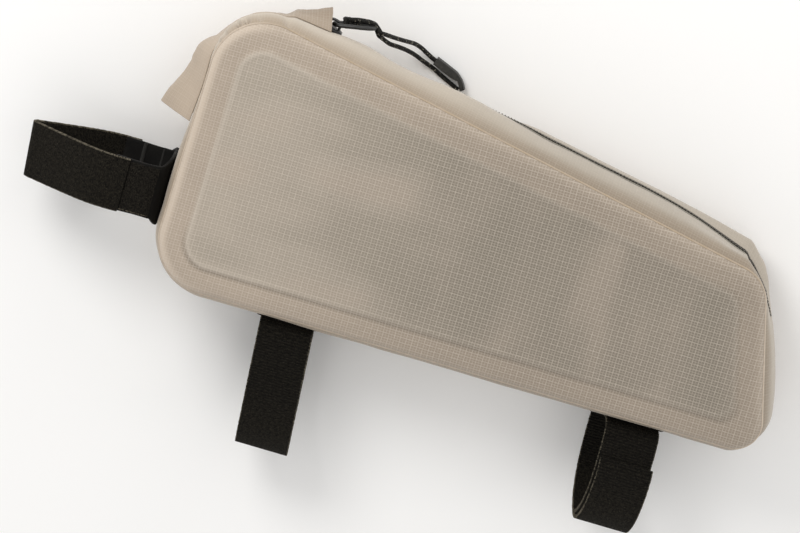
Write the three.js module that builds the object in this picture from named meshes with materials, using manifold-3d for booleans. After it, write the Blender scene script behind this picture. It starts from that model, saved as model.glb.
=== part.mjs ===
// A bicycle top tube bag of coated ripstop cloth, lying on its side as it is photographed.
// Units are millimetres. +X runs along the base toward the tail, +Y from the base to the zip and
// +Z up from the side panel that it lies on to the other one.
import * as THREE from 'three';
import { mergeVertices } from 'three/addons/utils/BufferGeometryUtils.js';
import Module from 'manifold-3d';

const wasm = await Module();
wasm.setup();

// Bag body
const baseLength = 238; // between the two corners of the base seam
const frontHeight = 109.6; // of the seam's front top corner above the base seam
const bagWidth = 50; // over both side panels
const clothWall = 1.2; // coated cloth with its welded backing
const gap = 0.3; // between pieces that touch
const noseRadius = 20; // seam corners at the front
const heelRadius = 10; // seam corner at the rear of the base
const tailRadius = 14; // seam corner at the rear of the top

// Side panels
const frameInset = 10; // from the seam to the pressed frame line
const frameDepth = 3; // of the pressed border below the flat field
const frameRadius = 6; // least corner radius of the frame line

// Gusset, the cloth band between the two panels
const gussetCrown = 5; // how far it bulges past the seams
const sideSteps = 8; // stations along each straight side
const cornerSteps = 5; // stations round each corner
const leastStep = 0.004; // between two stations

// Zip
const slotWidth = 5.6; // opening between the gusset's zip edges
const coilWidth = 2.8;
const coilHeight = 1.5;
const tapeLap = 4; // of each zip tape under the gusset cloth
const tapeThickness = 0.7;
const zipFront = 4.985; // places round the outline, explained at outlinePoint
const zipRear = 2.78;

// Slider and pull tab
const sliderPlace = 4.915;
const sliderLength = 9;
const sliderWidth = 7.6;
const sliderHeight = 2.6;
const sliderBevel = 1.2; // of the slider's upper ends
const bridgeHeight = 3.6; // above the slider's top plate
const bridgeLength = 6;
const bridgeWidth = 2;
const bridgeWall = 1.1;
const tabLength = 17;
const tabWidth = 8;
const tabThickness = 1.6;
const tabBar = 1.8; // width of the ring's own bar
const tabCorner = 3; // radius outside
const tabInnerCorner = 1.4;
const tabLift = 23; // degrees that the tab stands off the zip

// Hood over the front end of the zip and the cable gap
const hoodMargin = 12; // from each seam to the hood's edge
const hoodRise = 11.6; // of its front mouth above the gusset
const hoodRear = 4.925;
const hoodFront = 6.44;
const hoodMiddle = 5.5; // the middle of the corner
const hoodSteps = 16;
const hoodAcross = 8; // columns across it
const hoodFlat = 1.5; // power that flattens its crest
const hoodRake = 2.6; // how far the mouth's crest leans toward the corner

// Hook-and-loop straps
const strapWidth = 20.5;
const strapThickness = 1.6;
const noseStrapPlace = 6.75; // where the front strap base sits on the outline
const noseStrapReach = 54; // of the front loop ahead of the front seam
const noseStrapLow = 20.5; // height of its lower edge above the base seam
const wingLength = 20; // of the front base's two wings
const wingHalf = 17.5; // half of the depth between the wings' tips
const baseSheet = 1.4; // thickness of the smooth front strap base
const hookThickness = 0.8;
const hookMargin = 1; // inside the strap's edges
const hookStart = 3; // of the hook patches ahead of the base's back
const hookLength = 11;
const wingSteps = 30; // stations along the front strap base
const noseSteps = 40; // stations along the front strap
const loopHalf = 16.5; // half of the base loops' depth
const loopStart = 0.22; // share of a turn, from the top, where a loop's upper layer starts
const lapEnd = 0.88; // share of a turn where its lower layer is back in line
const loopSteps = 44; // stations in a turn
const anchorWall = 1;
const anchorMargin = 7; // of each anchor patch past the strap
const anchorDepth = 18; // of each anchor patch across the base

// Pull cord
const cordDiameter = 1.7;
const cordSides = 8;
const cordEndLength = 16;
const cordEndWidth = 4;
const cordEndHeight = 4.2;
const cordEndShoulder = 10.5; // where it starts to narrow
const cordEndTip = 1.8; // width of its tip
const cordEndBevel = 0.5;

// Heights that follow from the sizes above
const midHeight = bagWidth / 2;
const seamTop = bagWidth - frameDepth;
const rimTop = seamTop - clothWall - gap;
const rimBottom = bagWidth - rimTop;

// Seam corners as shares of the base length and the front height
const corners = [
  { along: 0, up: 0, radius: noseRadius },
  { along: 1, up: 0, radius: heelRadius },
  { along: 0.927, up: 0.594, radius: tailRadius },
  { along: 0.011, up: 1, radius: noseRadius },
];

// Bulge of the gusset round the outline, as a share of gussetCrown, and how flat its middle is
const crownRows = [
  { place: 0, bulge: 0.65, flat: 1 },
  { place: 1, bulge: 0.65, flat: 1 },
  { place: 2, bulge: 1, flat: 0.3 },
  { place: 3, bulge: 1.15, flat: 0.2 },
  { place: 4, bulge: 1, flat: 0.2 },
  { place: 4.5, bulge: 1.05, flat: 0.1 },
  { place: 4.85, bulge: 0.6, flat: 0.2 },
  { place: 5, bulge: 0.55, flat: 0.2 },
  { place: 6, bulge: 0.6, flat: 0.3 },
  { place: 6.5, bulge: 0.75, flat: 0.6 },
  { place: 7, bulge: 0.7, flat: 0.8 },
  { place: 8, bulge: 0.65, flat: 1 },
];

// Section across the gusset from a seam to its middle, for a round and for a flat section
const sectionRows = [
  { across: 0, round: 0, level: 0 },
  { across: 0.05, round: 0.3, level: 0.5 },
  { across: 0.12, round: 0.55, level: 0.88 },
  { across: 0.22, round: 0.8, level: 1 },
  { across: 0.34, round: 0.94, level: 1 },
  { across: 0.5, round: 1, level: 1 },
];

// Height of the hood's crest above the gusset, as a share of hoodRise
const hoodRows = [
  { place: 4.925, rise: 0.72 },
  { place: 4.965, rise: 0.38 },
  { place: 5, rise: 0.14 },
  { place: 5.05, rise: 0.03 },
  { place: 5.7, rise: 0.02 },
  { place: 5.93, rise: 0.05 },
  { place: 6.03, rise: 0.17 },
  { place: 6.15, rise: 0.43 },
  { place: 6.3, rise: 0.73 },
  { place: 6.44, rise: 1 },
];

// The two loops under the base: place along it, drop below it, and how far each leans in x
const baseLoops = [
  { name: 'middle_strap', along: 0.23, drop: 51.2, skew: 0.5, lean: 3.5, lap: 0.3 },
  { name: 'rear_strap', along: 0.787, drop: 41, skew: 3, lean: 0.5, lap: 0.26 },
];

// One turn of a base loop as shares of its drop and its half depth, from the middle of the top
const loopRows = [
  { down: 0, across: 0 },
  { down: 0, across: 0.35 },
  { down: 0.006, across: 0.66 },
  { down: 0.06, across: 0.92 },
  { down: 0.3, across: 1 },
  { down: 0.62, across: 0.93 },
  { down: 0.87, across: 0.6 },
  { down: 1, across: 0.05 },
  { down: 0.87, across: -0.6 },
  { down: 0.62, across: -0.93 },
  { down: 0.3, across: -1 },
  { down: 0.06, across: -0.92 },
  { down: 0.006, across: -0.66 },
  { down: 0, across: -0.35 },
];

// Half of the front loop, from the strap's end on the wing to the tip, as shares of that length
// and of its half depth
const noseRows = [
  { ahead: 0, across: 1 },
  { ahead: 0.13, across: 1 },
  { ahead: 0.26, across: 0.96 },
  { ahead: 0.42, across: 0.82 },
  { ahead: 0.6, across: 0.6 },
  { ahead: 0.78, across: 0.36 },
  { ahead: 0.9, across: 0.19 },
  { ahead: 0.98, across: 0.08 },
  { ahead: 1, across: 0 },
];

// Half of the front strap base, from its middle on the gusset to a wing's tip, as shares of the
// wing's length and of its half depth, with its height past the strap's edges
const wingRows = [
  { ahead: 0, across: 0, taller: 3 },
  { ahead: 0, across: 0.5, taller: 3 },
  { ahead: 0.03, across: 0.76, taller: 2 },
  { ahead: 0.13, across: 0.93, taller: 0 },
  { ahead: 0.5, across: 1, taller: 0 },
  { ahead: 1, across: 1, taller: 0 },
];

// Routes of the pull cord's two strands, chosen by hand, from the tab to the cord end
const cordUpper = [
  [57.6, 108.8, 25.2],
  [59.8, 108.8, 24],
  [62.6, 108.5, 21],
  [65.6, 107.6, 16.6],
  [68.6, 106.7, 11.6],
  [71.6, 105.8, 7],
  [74.4, 104.3, 3.6],
  [77, 102.6, 1.9],
  [79.6, 101, 1.6],
];
const cordLower = [
  [56.2, 106.9, 23.2],
  [59, 106.1, 21.6],
  [62.6, 105.3, 18.6],
  [66.2, 104.3, 14.4],
  [69.8, 103, 9.6],
  [73.2, 101.3, 5.4],
  [76.6, 99.4, 2.6],
  [80, 97.3, 1.3],
  [84, 95, 1.1],
  [88, 92.9, 1.1],
  [91.2, 91.4, 1.1],
];
const cordEndMouth = [80.7, 100.8, 2.3];
const cordEndTurn = -27; // degrees from +X

// Materials
function cloth(color) {
  return new THREE.MeshStandardMaterial({ color, roughness: 0.62, metalness: 0 });
}
function webbing(color) {
  return new THREE.MeshStandardMaterial({ color, roughness: 0.95, metalness: 0 });
}
function moulded(color) {
  return new THREE.MeshStandardMaterial({ color, roughness: 0.5, metalness: 0 });
}

// Reads a named column of a table of rows at any place between its rows
function readRows(rows, key, place, column) {
  let k = 1;
  while (k < rows.length - 1 && place > rows[k][key]) k += 1;
  const low = rows[k - 1];
  const high = rows[k];
  const share = THREE.MathUtils.clamp((place - low[key]) / (high[key] - low[key]), 0, 1);
  return THREE.MathUtils.lerp(low[column], high[column], share);
}

// A place on the outline is a number from 0 to 8. Its whole part names a stretch: 0 base, 1 heel
// corner, 2 rear, 3 tail corner, 4 top, 5 front top corner, 6 front, 7 front base corner.
// Its fraction is the share of that stretch. inset moves the whole outline inward.
function outlinePoint(place, inset = 0) {
  const turned = ((place % 8) + 8) % 8;
  const stretch = Math.floor(turned);
  const share = turned - stretch;
  const at = (k) => {
    const row = corners[(k + 4) % 4];
    return new THREE.Vector2(row.along * baseLength, row.up * frontHeight);
  };
  const inward = (k) => {
    const d = at(k + 1).sub(at(k)).normalize();
    return new THREE.Vector2(-d.y, d.x);
  };
  const corner = (k) => {
    const before = inward(k + 3);
    const after = inward(k);
    const spread = 1 + before.dot(after);
    const toMiddle = before.clone().add(after).divideScalar(spread);
    const radius = Math.max(corners[k % 4].radius - inset, frameRadius);
    const centre = at(k).addScaledVector(toMiddle, inset + radius);
    return { before, after, radius, centre };
  };
  if (stretch % 2 === 0) {
    const k = stretch / 2;
    const normal = inward(k).negate();
    const a = corner(k);
    const b = corner((k + 1) % 4);
    const start = a.centre.clone().addScaledVector(normal, a.radius);
    const end = b.centre.clone().addScaledVector(normal, b.radius);
    return { point: start.lerp(end, share), normal };
  }
  const c = corner(((stretch + 1) / 2) % 4);
  const from = Math.atan2(-c.before.y, -c.before.x);
  let turn = Math.atan2(-c.after.y, -c.after.x) - from;
  if (turn < 0) turn += 2 * Math.PI;
  const angle = from + turn * share;
  const normal = new THREE.Vector2(Math.cos(angle), Math.sin(angle));
  return { point: c.centre.clone().addScaledVector(normal, c.radius), normal };
}

// Regular places round the outline from one place to another, with extra named ones among them
function placesBetween(from, to, extra = []) {
  const places = [from, to, ...extra];
  for (let stretch = Math.floor(from); stretch < to; stretch += 1) {
    const steps = stretch % 2 === 0 ? sideSteps : cornerSteps;
    for (let k = 0; k < steps; k += 1) places.push(stretch + k / steps);
  }
  const sorted = places.filter((p) => p >= from && p <= to).sort((a, b) => a - b);
  return sorted.filter((p, k) => k === 0 || p - sorted[k - 1] > leastStep);
}

// The bulge of the gusset at a place and a share of its width
function crownAt(place, across) {
  const half = Math.min(across, 1 - across);
  const round = readRows(sectionRows, 'across', half, 'round');
  const level = readRows(sectionRows, 'across', half, 'level');
  const bulge = readRows(crownRows, 'place', place, 'bulge');
  const flat = readRows(crownRows, 'place', place, 'flat');
  return gussetCrown * bulge * THREE.MathUtils.lerp(round, level, flat);
}

// A point of the gusset: across runs from 0 at the upper seam to 1 at the lower one
function gussetPoint(place, across, lift = 0) {
  const { point, normal } = outlinePoint(place);
  const out = crownAt(place, across) + lift;
  const z = THREE.MathUtils.lerp(rimTop, rimBottom, across);
  return new THREE.Vector3(point.x + normal.x * out, point.y + normal.y * out, z);
}

// A closed body between two sheets of matching points that share one list of triangles
function sheetSolid(outer, inner, triangles) {
  const count = outer.length;
  const index = [];
  const used = new Set();
  for (const [a, b, c] of triangles) {
    index.push(a, b, c, count + c, count + b, count + a);
    for (const edge of [[a, b], [b, c], [c, a]]) used.add(edge.join());
  }
  for (const key of used) {
    const [a, b] = key.split(',').map(Number);
    if (!used.has([b, a].join())) index.push(b, a, count + a, b, count + a, count + b);
  }
  const geometry = new THREE.BufferGeometry();
  const all = [...outer, ...inner];
  geometry.setAttribute('position', new THREE.Float32BufferAttribute(all.flatMap((p) => p.toArray()), 3));
  geometry.setIndex(index);
  return facingOut(geometry);
}

// Turns a closed body's faces outward if its volume is negative
function facingOut(geometry) {
  const p = geometry.getAttribute('position');
  const index = geometry.getIndex().array;
  const corner = (k) => new THREE.Vector3().fromBufferAttribute(p, index[k]);
  let volume = 0;
  for (let k = 0; k < index.length; k += 3) {
    volume += corner(k).dot(corner(k + 1).cross(corner(k + 2)));
  }
  if (volume < 0) {
    for (let k = 0; k < index.length; k += 3) [index[k], index[k + 1]] = [index[k + 1], index[k]];
  }
  return geometry;
}

// Triangles of a grid of rows and columns, without the cells that keep refuses
function gridTriangles(rows, columns, keep = () => true, closed = false) {
  const triangles = [];
  for (let i = 0; i < (closed ? rows : rows - 1); i += 1) {
    for (let j = 0; j < columns - 1; j += 1) {
      if (!keep(i, j)) continue;
      const a = i * columns + j;
      const b = ((i + 1) % rows) * columns + j;
      triangles.push([a, b, b + 1], [a, b + 1, a + 1]);
    }
  }
  return triangles;
}

// A strip of even thickness along flat path points, laid in space by place(point, edge)
function ribbon(path, thickness, place) {
  const outer = [];
  const inner = [];
  path.forEach((point, k) => {
    const before = path[Math.max(k - 1, 0)];
    const after = path[Math.min(k + 1, path.length - 1)];
    const along = new THREE.Vector2().subVectors(after, before).normalize();
    const side = new THREE.Vector2(-along.y, along.x).multiplyScalar(thickness / 2);
    for (const edge of [0, 1]) {
      outer.push(place(point.clone().add(side), edge, k));
      inner.push(place(point.clone().sub(side), edge, k));
    }
  });
  return sheetSolid(outer, inner, gridTriangles(path.length, 2));
}

// Booleans
function toManifold(geometry) {
  const bare = geometry.clone();
  bare.deleteAttribute('normal');
  bare.deleteAttribute('uv');
  const merged = mergeVertices(bare, 1e-4);
  return new wasm.Manifold(new wasm.Mesh({
    numProp: 3,
    vertProperties: new Float32Array(merged.getAttribute('position').array),
    triVerts: new Uint32Array(merged.getIndex().array),
  }));
}
function fromManifold(solid) {
  const mesh = solid.getMesh();
  const geometry = new THREE.BufferGeometry();
  geometry.setAttribute('position', new THREE.BufferAttribute(new Float32Array(mesh.vertProperties), 3));
  geometry.setIndex(new THREE.BufferAttribute(new Uint32Array(mesh.triVerts), 1));
  return geometry;
}

function named(name, geometry, material) {
  geometry.computeVertexNormals();
  const mesh = new THREE.Mesh(geometry, material);
  mesh.name = name;
  return mesh;
}

// Side panel: a flat field inside a pressed border that falls to the seam
const panelRings = [
  { inset: 0, fall: 1 },
  { inset: 0.35, fall: 0.8 },
  { inset: 0.8, fall: 0.25 },
  { inset: 1, fall: 0 },
];
function sidePanel(name, upward) {
  const places = placesBetween(0, 8).slice(0, -1);
  const face = upward ? bagWidth : 0;
  const sign = upward ? -1 : 1;
  const outer = [];
  const inner = [];
  for (const ring of panelRings) {
    for (const place of places) {
      const { point } = outlinePoint(place, ring.inset * frameInset);
      const z = face + sign * ring.fall * frameDepth;
      outer.push(new THREE.Vector3(point.x, point.y, z));
      inner.push(new THREE.Vector3(point.x, point.y, z + sign * clothWall));
    }
  }
  const count = places.length;
  const triangles = [];
  for (let r = 0; r < panelRings.length - 1; r += 1) {
    for (let k = 0; k < count; k += 1) {
      const next = (k + 1) % count;
      const a = r * count;
      triangles.push([a + k, a + next, a + count + next], [a + k, a + count + next, a + count + k]);
    }
  }
  const field = (panelRings.length - 1) * count;
  const ringPoints = outer.slice(field).map((p) => new THREE.Vector2(p.x, p.y));
  for (const [a, b, c] of THREE.ShapeUtils.triangulateShape(ringPoints, [])) {
    triangles.push([field + a, field + b, field + c]);
  }
  return named(name, sheetSolid(outer, inner, triangles), cloth(0xa99b8b));
}

// Gusset: one band all round, with the zip's slot cut out of its middle
function gusset() {
  const places = placesBetween(0, 8, [zipRear, zipFront]).slice(0, -1);
  const slotHalf = slotWidth / 2 / (rimTop - rimBottom);
  const acrosses = sectionRows.map((row) => row.across).filter((a) => a < 0.5 - slotHalf - 0.02);
  acrosses.push(0.5 - slotHalf);
  const columns = [...acrosses, ...acrosses.map((a) => 1 - a).reverse()];
  const slot = acrosses.length - 1;
  const outer = [];
  const inner = [];
  for (const place of places) {
    for (const across of columns) {
      outer.push(gussetPoint(place, across));
      inner.push(gussetPoint(place, across, -clothWall));
    }
  }
  const keep = (i, j) => j !== slot || places[i] < zipRear || places[i] >= zipFront;
  const triangles = gridTriangles(places.length, columns.length, keep, true);
  return named('gusset', sheetSolid(outer, inner, triangles), cloth(0xb0a18f));
}

// A strip that follows the gusset between two shares of its width
function gussetStrip(name, from, to, shares, top, thickness, material) {
  const places = placesBetween(from, to);
  const outer = [];
  const inner = [];
  for (const place of places) {
    for (const across of shares) {
      outer.push(gussetPoint(place, across, top));
      inner.push(gussetPoint(place, across, top - thickness));
    }
  }
  const triangles = gridTriangles(places.length, shares.length);
  return named(name, sheetSolid(outer, inner, triangles), material);
}

// Zip: two tapes under the slot's edges and the closed coil between them
function zip() {
  const width = rimTop - rimBottom;
  const coilHalf = coilWidth / 2 / width;
  const tapeInner = coilHalf + gap / width;
  const tapeOuter = (slotWidth / 2 + tapeLap) / width;
  const under = -clothWall - gap;
  const ends = 0.01;
  const group = new THREE.Group();
  const tapes = [
    { name: 'zip_tape_near', shares: [0.5 - tapeOuter, 0.5 - tapeInner] },
    { name: 'zip_tape_far', shares: [0.5 + tapeInner, 0.5 + tapeOuter] },
  ];
  for (const row of tapes) {
    group.add(gussetStrip(row.name, zipRear - ends, zipFront + ends, row.shares, under, tapeThickness,
      webbing(0x3b3733)));
  }
  group.add(gussetStrip('zip_coil', zipRear, zipFront, [0.5 - coilHalf, 0.5 + coilHalf],
    under + coilHeight - tapeThickness, coilHeight, moulded(0x6c675f)));
  return group;
}

// The frame of a place on the zip's centre line: x along it toward the tail, y out of the bag
function zipFrame(place) {
  const { normal } = outlinePoint(place);
  const group = new THREE.Group();
  group.position.copy(gussetPoint(place, 0.5));
  group.rotation.z = Math.atan2(normal.y, normal.x) - Math.PI / 2;
  return group;
}

// Slider: a body on the coil and a bridge that holds the pull tab
function slider() {
  const body = new THREE.Shape();
  const half = sliderLength / 2;
  body.moveTo(-half, gap);
  body.lineTo(half, gap);
  body.lineTo(half, gap + sliderBevel);
  body.lineTo(half - sliderBevel, gap + sliderHeight);
  body.lineTo(-half + sliderBevel, gap + sliderHeight);
  body.lineTo(-half, gap + sliderBevel);
  const block = new THREE.ExtrudeGeometry(body, { depth: sliderWidth, bevelEnabled: false });
  block.translate(0, 0, -sliderWidth / 2);

  const arch = new THREE.Shape();
  const foot = gap + sliderHeight - bridgeWall;
  const crest = gap + sliderHeight + bridgeHeight;
  const reach = bridgeLength / 2;
  arch.moveTo(-reach, foot);
  arch.lineTo(reach, foot);
  arch.lineTo(reach, crest - bridgeWall);
  arch.lineTo(reach - bridgeWall, crest);
  arch.lineTo(-reach + bridgeWall, crest);
  arch.lineTo(-reach, crest - bridgeWall);
  const eye = new THREE.Path();
  eye.moveTo(-reach + bridgeWall, gap + sliderHeight);
  eye.lineTo(-reach + bridgeWall, crest - bridgeWall);
  eye.lineTo(reach - bridgeWall, crest - bridgeWall);
  eye.lineTo(reach - bridgeWall, gap + sliderHeight);
  arch.holes.push(eye);
  const bridge = new THREE.ExtrudeGeometry(arch, { depth: bridgeWidth, bevelEnabled: false });
  bridge.translate(0, 0, -bridgeWidth / 2);

  const solid = toManifold(block).add(toManifold(bridge));
  const frame = zipFrame(sliderPlace);
  frame.add(named('slider_body', fromManifold(solid), moulded(0x151515)));
  return frame;
}

// Pull tab: a long flat ring whose front bar runs through the bridge
function pullTab() {
  const ring = roundedBox(tabLength, tabWidth, tabCorner);
  ring.holes.push(roundedBox(tabLength - 2 * tabBar, tabWidth - 2 * tabBar, tabInnerCorner));
  const geometry = new THREE.ExtrudeGeometry(ring, {
    depth: tabThickness, bevelEnabled: false, curveSegments: 4,
  });
  geometry.translate(tabLength / 2 - tabBar / 2, 0, -tabThickness / 2);
  geometry.rotateX(-Math.PI / 2);
  geometry.rotateZ(THREE.MathUtils.degToRad(tabLift));
  geometry.translate(0, gap + sliderHeight + (bridgeHeight - bridgeWall) / 2, 0);
  const frame = zipFrame(sliderPlace);
  frame.add(named('pull_tab', geometry, moulded(0x1a1917)));
  return frame;
}

// A rounded rectangle round the origin
function roundedBox(length, width, radius) {
  const shape = new THREE.Shape();
  const x = length / 2;
  const y = width / 2;
  shape.moveTo(-x + radius, -y);
  shape.lineTo(x - radius, -y);
  shape.absarc(x - radius, -y + radius, radius, -Math.PI / 2, 0);
  shape.lineTo(x, y - radius);
  shape.absarc(x - radius, y - radius, radius, 0, Math.PI / 2);
  shape.lineTo(-x + radius, y);
  shape.absarc(-x + radius, y - radius, radius, Math.PI / 2, Math.PI);
  shape.lineTo(-x, -y + radius);
  shape.absarc(-x + radius, -y + radius, radius, Math.PI, 1.5 * Math.PI);
  return shape;
}

// Hood: cloth wrapped over the front top corner, tight in its middle and open at both ends
function hood() {
  const width = rimTop - rimBottom;
  const edge = hoodMargin / width;
  const outer = [];
  const inner = [];
  for (let i = 0; i <= hoodSteps; i += 1) {
    const place = THREE.MathUtils.lerp(hoodRear, hoodFront, i / hoodSteps);
    const rise = hoodRise * readRows(hoodRows, 'place', place, 'rise');
    const { normal } = outlinePoint(place);
    const along = new THREE.Vector2(-normal.y, normal.x);
    const rake = (hoodRake * rise) / hoodRise;
    const toCorner = place < hoodMiddle ? 1 : -1;
    for (let j = 0; j <= hoodAcross; j += 1) {
      const share = j / hoodAcross;
      const across = THREE.MathUtils.lerp(edge, 1 - edge, share);
      const tent = 1 - Math.abs(2 * share - 1) ** hoodFlat;
      for (const [list, lift] of [[outer, clothWall], [inner, 0]]) {
        const point = gussetPoint(place, across, gap + lift + rise * tent);
        point.x += along.x * rake * tent * toCorner;
        point.y += along.y * rake * tent * toCorner;
        list.push(point);
      }
    }
  }
  const triangles = gridTriangles(hoodSteps + 1, hoodAcross + 1);
  return named('hood', sheetSolid(outer, inner, triangles), cloth(0xc3b4a5));
}

// Front strap: the smooth base on the gusset, its two hook patches and the strap between them
function noseFace() {
  return gussetPoint(noseStrapPlace, 0.5).x - gap - baseSheet / 2;
}
function wingCurve() {
  const face = noseFace();
  const half = wingRows.map((row) => new THREE.Vector2(face - row.ahead * wingLength, row.across * wingHalf));
  const mirrored = half.slice(1).map((p) => new THREE.Vector2(p.x, -p.y)).reverse();
  return new THREE.SplineCurve([...mirrored, ...half]);
}
function frontStrapBase() {
  const path = wingCurve().getPoints(wingSteps);
  const low = noseStrapLow;
  const high = noseStrapLow + strapWidth;
  const geometry = ribbon(path, baseSheet, (point, edge) => {
    const ahead = (noseFace() - point.x) / wingLength;
    const taller = readRows(wingRows.slice(1), 'ahead', ahead, 'taller');
    return new THREE.Vector3(point.x, edge ? high + taller : low - taller, midHeight + point.y);
  });
  return named('front_strap_base', geometry, moulded(0x1d1d1b));
}
function hookPatches() {
  const group = new THREE.Group();
  const lift = (baseSheet + hookThickness) / 2 + gap;
  for (const [name, side] of [['front_hook_near', 1], ['front_hook_far', -1]]) {
    const path = [0, 0.25, 0.5, 0.75, 1].map((share) => {
      const ahead = hookStart + share * hookLength;
      const across = readRows(wingRows.slice(2), 'ahead', ahead / wingLength, 'across');
      return new THREE.Vector2(noseFace() - ahead, side * (across * wingHalf + lift));
    });
    const geometry = ribbon(path, hookThickness, (point, edge) => new THREE.Vector3(
      point.x, noseStrapLow + (edge ? strapWidth - hookMargin : hookMargin), midHeight + point.y));
    group.add(named(name, geometry, webbing(0x161513)));
  }
  return group;
}
function frontStrap() {
  const start = noseFace() - hookStart - hookLength - gap;
  const length = start + noseStrapReach;
  const depth = wingHalf + baseSheet / 2 + gap + strapThickness / 2;
  const half = noseRows.map((row) => new THREE.Vector2(start - row.ahead * length, row.across * depth));
  const mirrored = half.slice(0, -1).map((p) => new THREE.Vector2(p.x, -p.y)).reverse();
  const path = new THREE.SplineCurve([...half, ...mirrored]).getSpacedPoints(noseSteps);
  const geometry = ribbon(path, strapThickness, (point, edge) => new THREE.Vector3(
    point.x, noseStrapLow + (edge ? strapWidth : 0), midHeight + point.y));
  return named('front_strap', geometry, webbing(0x191714));
}

// Base loops: each strap runs under its anchor patch and laps over itself on the upper side
function baseFace(along) {
  return gussetPoint(along, 0.5).y;
}
function loopCurve(row) {
  const top = baseFace(row.along) - gap - strapThickness / 2;
  const points = loopRows.map((r) => new THREE.Vector3(top - r.down * row.drop, r.across * loopHalf, 0));
  return new THREE.CatmullRomCurve3(points, true, 'centripetal');
}
function baseLoop(row) {
  const curve = loopCurve(row);
  const top = baseFace(row.along) - gap - strapThickness / 2;
  const x = row.along * baseLength;
  const turns = 1 + row.lap;
  const steps = Math.round(loopSteps * turns);
  const path = [];
  for (let k = 0; k <= steps; k += 1) {
    const phase = loopStart + (turns * k) / steps;
    const point = curve.getPointAt(phase % 1);
    const tangent = curve.getTangentAt(phase % 1);
    const layer = 1 - THREE.MathUtils.smoothstep(phase, loopStart + row.lap, lapEnd);
    const out = layer * (strapThickness + gap);
    path.push(new THREE.Vector2(point.x + tangent.y * out, point.y - tangent.x * out));
  }
  const geometry = ribbon(path, strapThickness, (point, edge) => {
    const drop = (top - point.x) / row.drop;
    const side = edge ? strapWidth / 2 : -strapWidth / 2;
    const shift = (row.skew * point.y) / loopHalf + row.lean * drop;
    return new THREE.Vector3(x + side + shift, point.x, midHeight + point.y);
  });
  return named(row.name, geometry, webbing(0x191714));
}
function strapAnchor(row) {
  const x = row.along * baseLength;
  const face = baseFace(row.along) - gap;
  const low = face - strapThickness - gap;
  const inside = strapWidth / 2 + Math.abs(row.skew) + 2 * gap;
  const outside = inside + anchorMargin;
  const shape = new THREE.Shape();
  shape.moveTo(x - outside, face);
  shape.lineTo(x - outside, face - anchorWall);
  shape.lineTo(x - inside - anchorWall, face - anchorWall);
  shape.lineTo(x - inside - anchorWall, low - anchorWall);
  shape.lineTo(x + inside + anchorWall, low - anchorWall);
  shape.lineTo(x + inside + anchorWall, face - anchorWall);
  shape.lineTo(x + outside, face - anchorWall);
  shape.lineTo(x + outside, face);
  shape.lineTo(x + inside, face);
  shape.lineTo(x + inside, low);
  shape.lineTo(x - inside, low);
  shape.lineTo(x - inside, face);
  const geometry = new THREE.ExtrudeGeometry(shape, { depth: anchorDepth, bevelEnabled: false });
  geometry.translate(0, 0, midHeight - anchorDepth / 2);
  return named(`${row.name}_anchor`, geometry, cloth(0x23211e));
}

// Pull cord: its two strands and the moulded end that holds them
function cordStrand(name, route) {
  const curve = new THREE.CatmullRomCurve3(route.map((p) => new THREE.Vector3(...p)));
  const section = new THREE.Shape();
  for (let k = 0; k < cordSides; k += 1) {
    const angle = (2 * Math.PI * k) / cordSides;
    const x = (cordDiameter / 2) * Math.cos(angle);
    const y = (cordDiameter / 2) * Math.sin(angle);
    if (k === 0) section.moveTo(x, y);
    else section.lineTo(x, y);
  }
  const steps = Math.round(curve.getLength() / (2 * cordDiameter));
  const geometry = new THREE.ExtrudeGeometry(section, { steps, extrudePath: curve, bevelEnabled: false });
  return named(name, geometry, webbing(0x16140f));
}
function cordEnd() {
  const half = cordEndWidth / 2;
  const shape = new THREE.Shape();
  shape.moveTo(0, -half);
  shape.lineTo(cordEndLength, -half);
  shape.lineTo(cordEndLength, -half + cordEndTip);
  shape.lineTo(cordEndShoulder, half);
  shape.lineTo(0, half);
  const geometry = new THREE.ExtrudeGeometry(shape, {
    depth: cordEndHeight - 2 * cordEndBevel, bevelEnabled: true, bevelThickness: cordEndBevel,
    bevelSize: cordEndBevel, bevelOffset: -cordEndBevel, bevelSegments: 1,
  });
  geometry.translate(0, 0, -(cordEndHeight - 2 * cordEndBevel) / 2);
  const mesh = named('cord_end', geometry, moulded(0x2c2c2a));
  mesh.position.set(...cordEndMouth);
  mesh.rotation.z = THREE.MathUtils.degToRad(cordEndTurn);
  return mesh;
}

// Assembly, moved so that the origin is under the middle of everything but the cord
const bag = new THREE.Group();
bag.add(sidePanel('side_panel_near', true), sidePanel('side_panel_far', false), gusset());
bag.add(zip(), slider(), pullTab(), hood());
bag.add(frontStrapBase(), hookPatches(), frontStrap());
for (const row of baseLoops) bag.add(baseLoop(row), strapAnchor(row));
bag.updateMatrixWorld(true);
const middle = new THREE.Box3().setFromObject(bag).getCenter(new THREE.Vector3());
bag.add(cordStrand('pull_cord_upper', cordUpper), cordStrand('pull_cord_lower', cordLower), cordEnd());
bag.position.set(-middle.x, -middle.y, 0);

const part = new THREE.Group();
part.add(bag);

export default part;
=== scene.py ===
# A bicycle top tube bag of coated ripstop cloth, lying on its side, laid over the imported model.
import math
from bisect import bisect_left
from functools import lru_cache

import bmesh
import bpy
from mathutils import Matrix, Vector, noise


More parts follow.
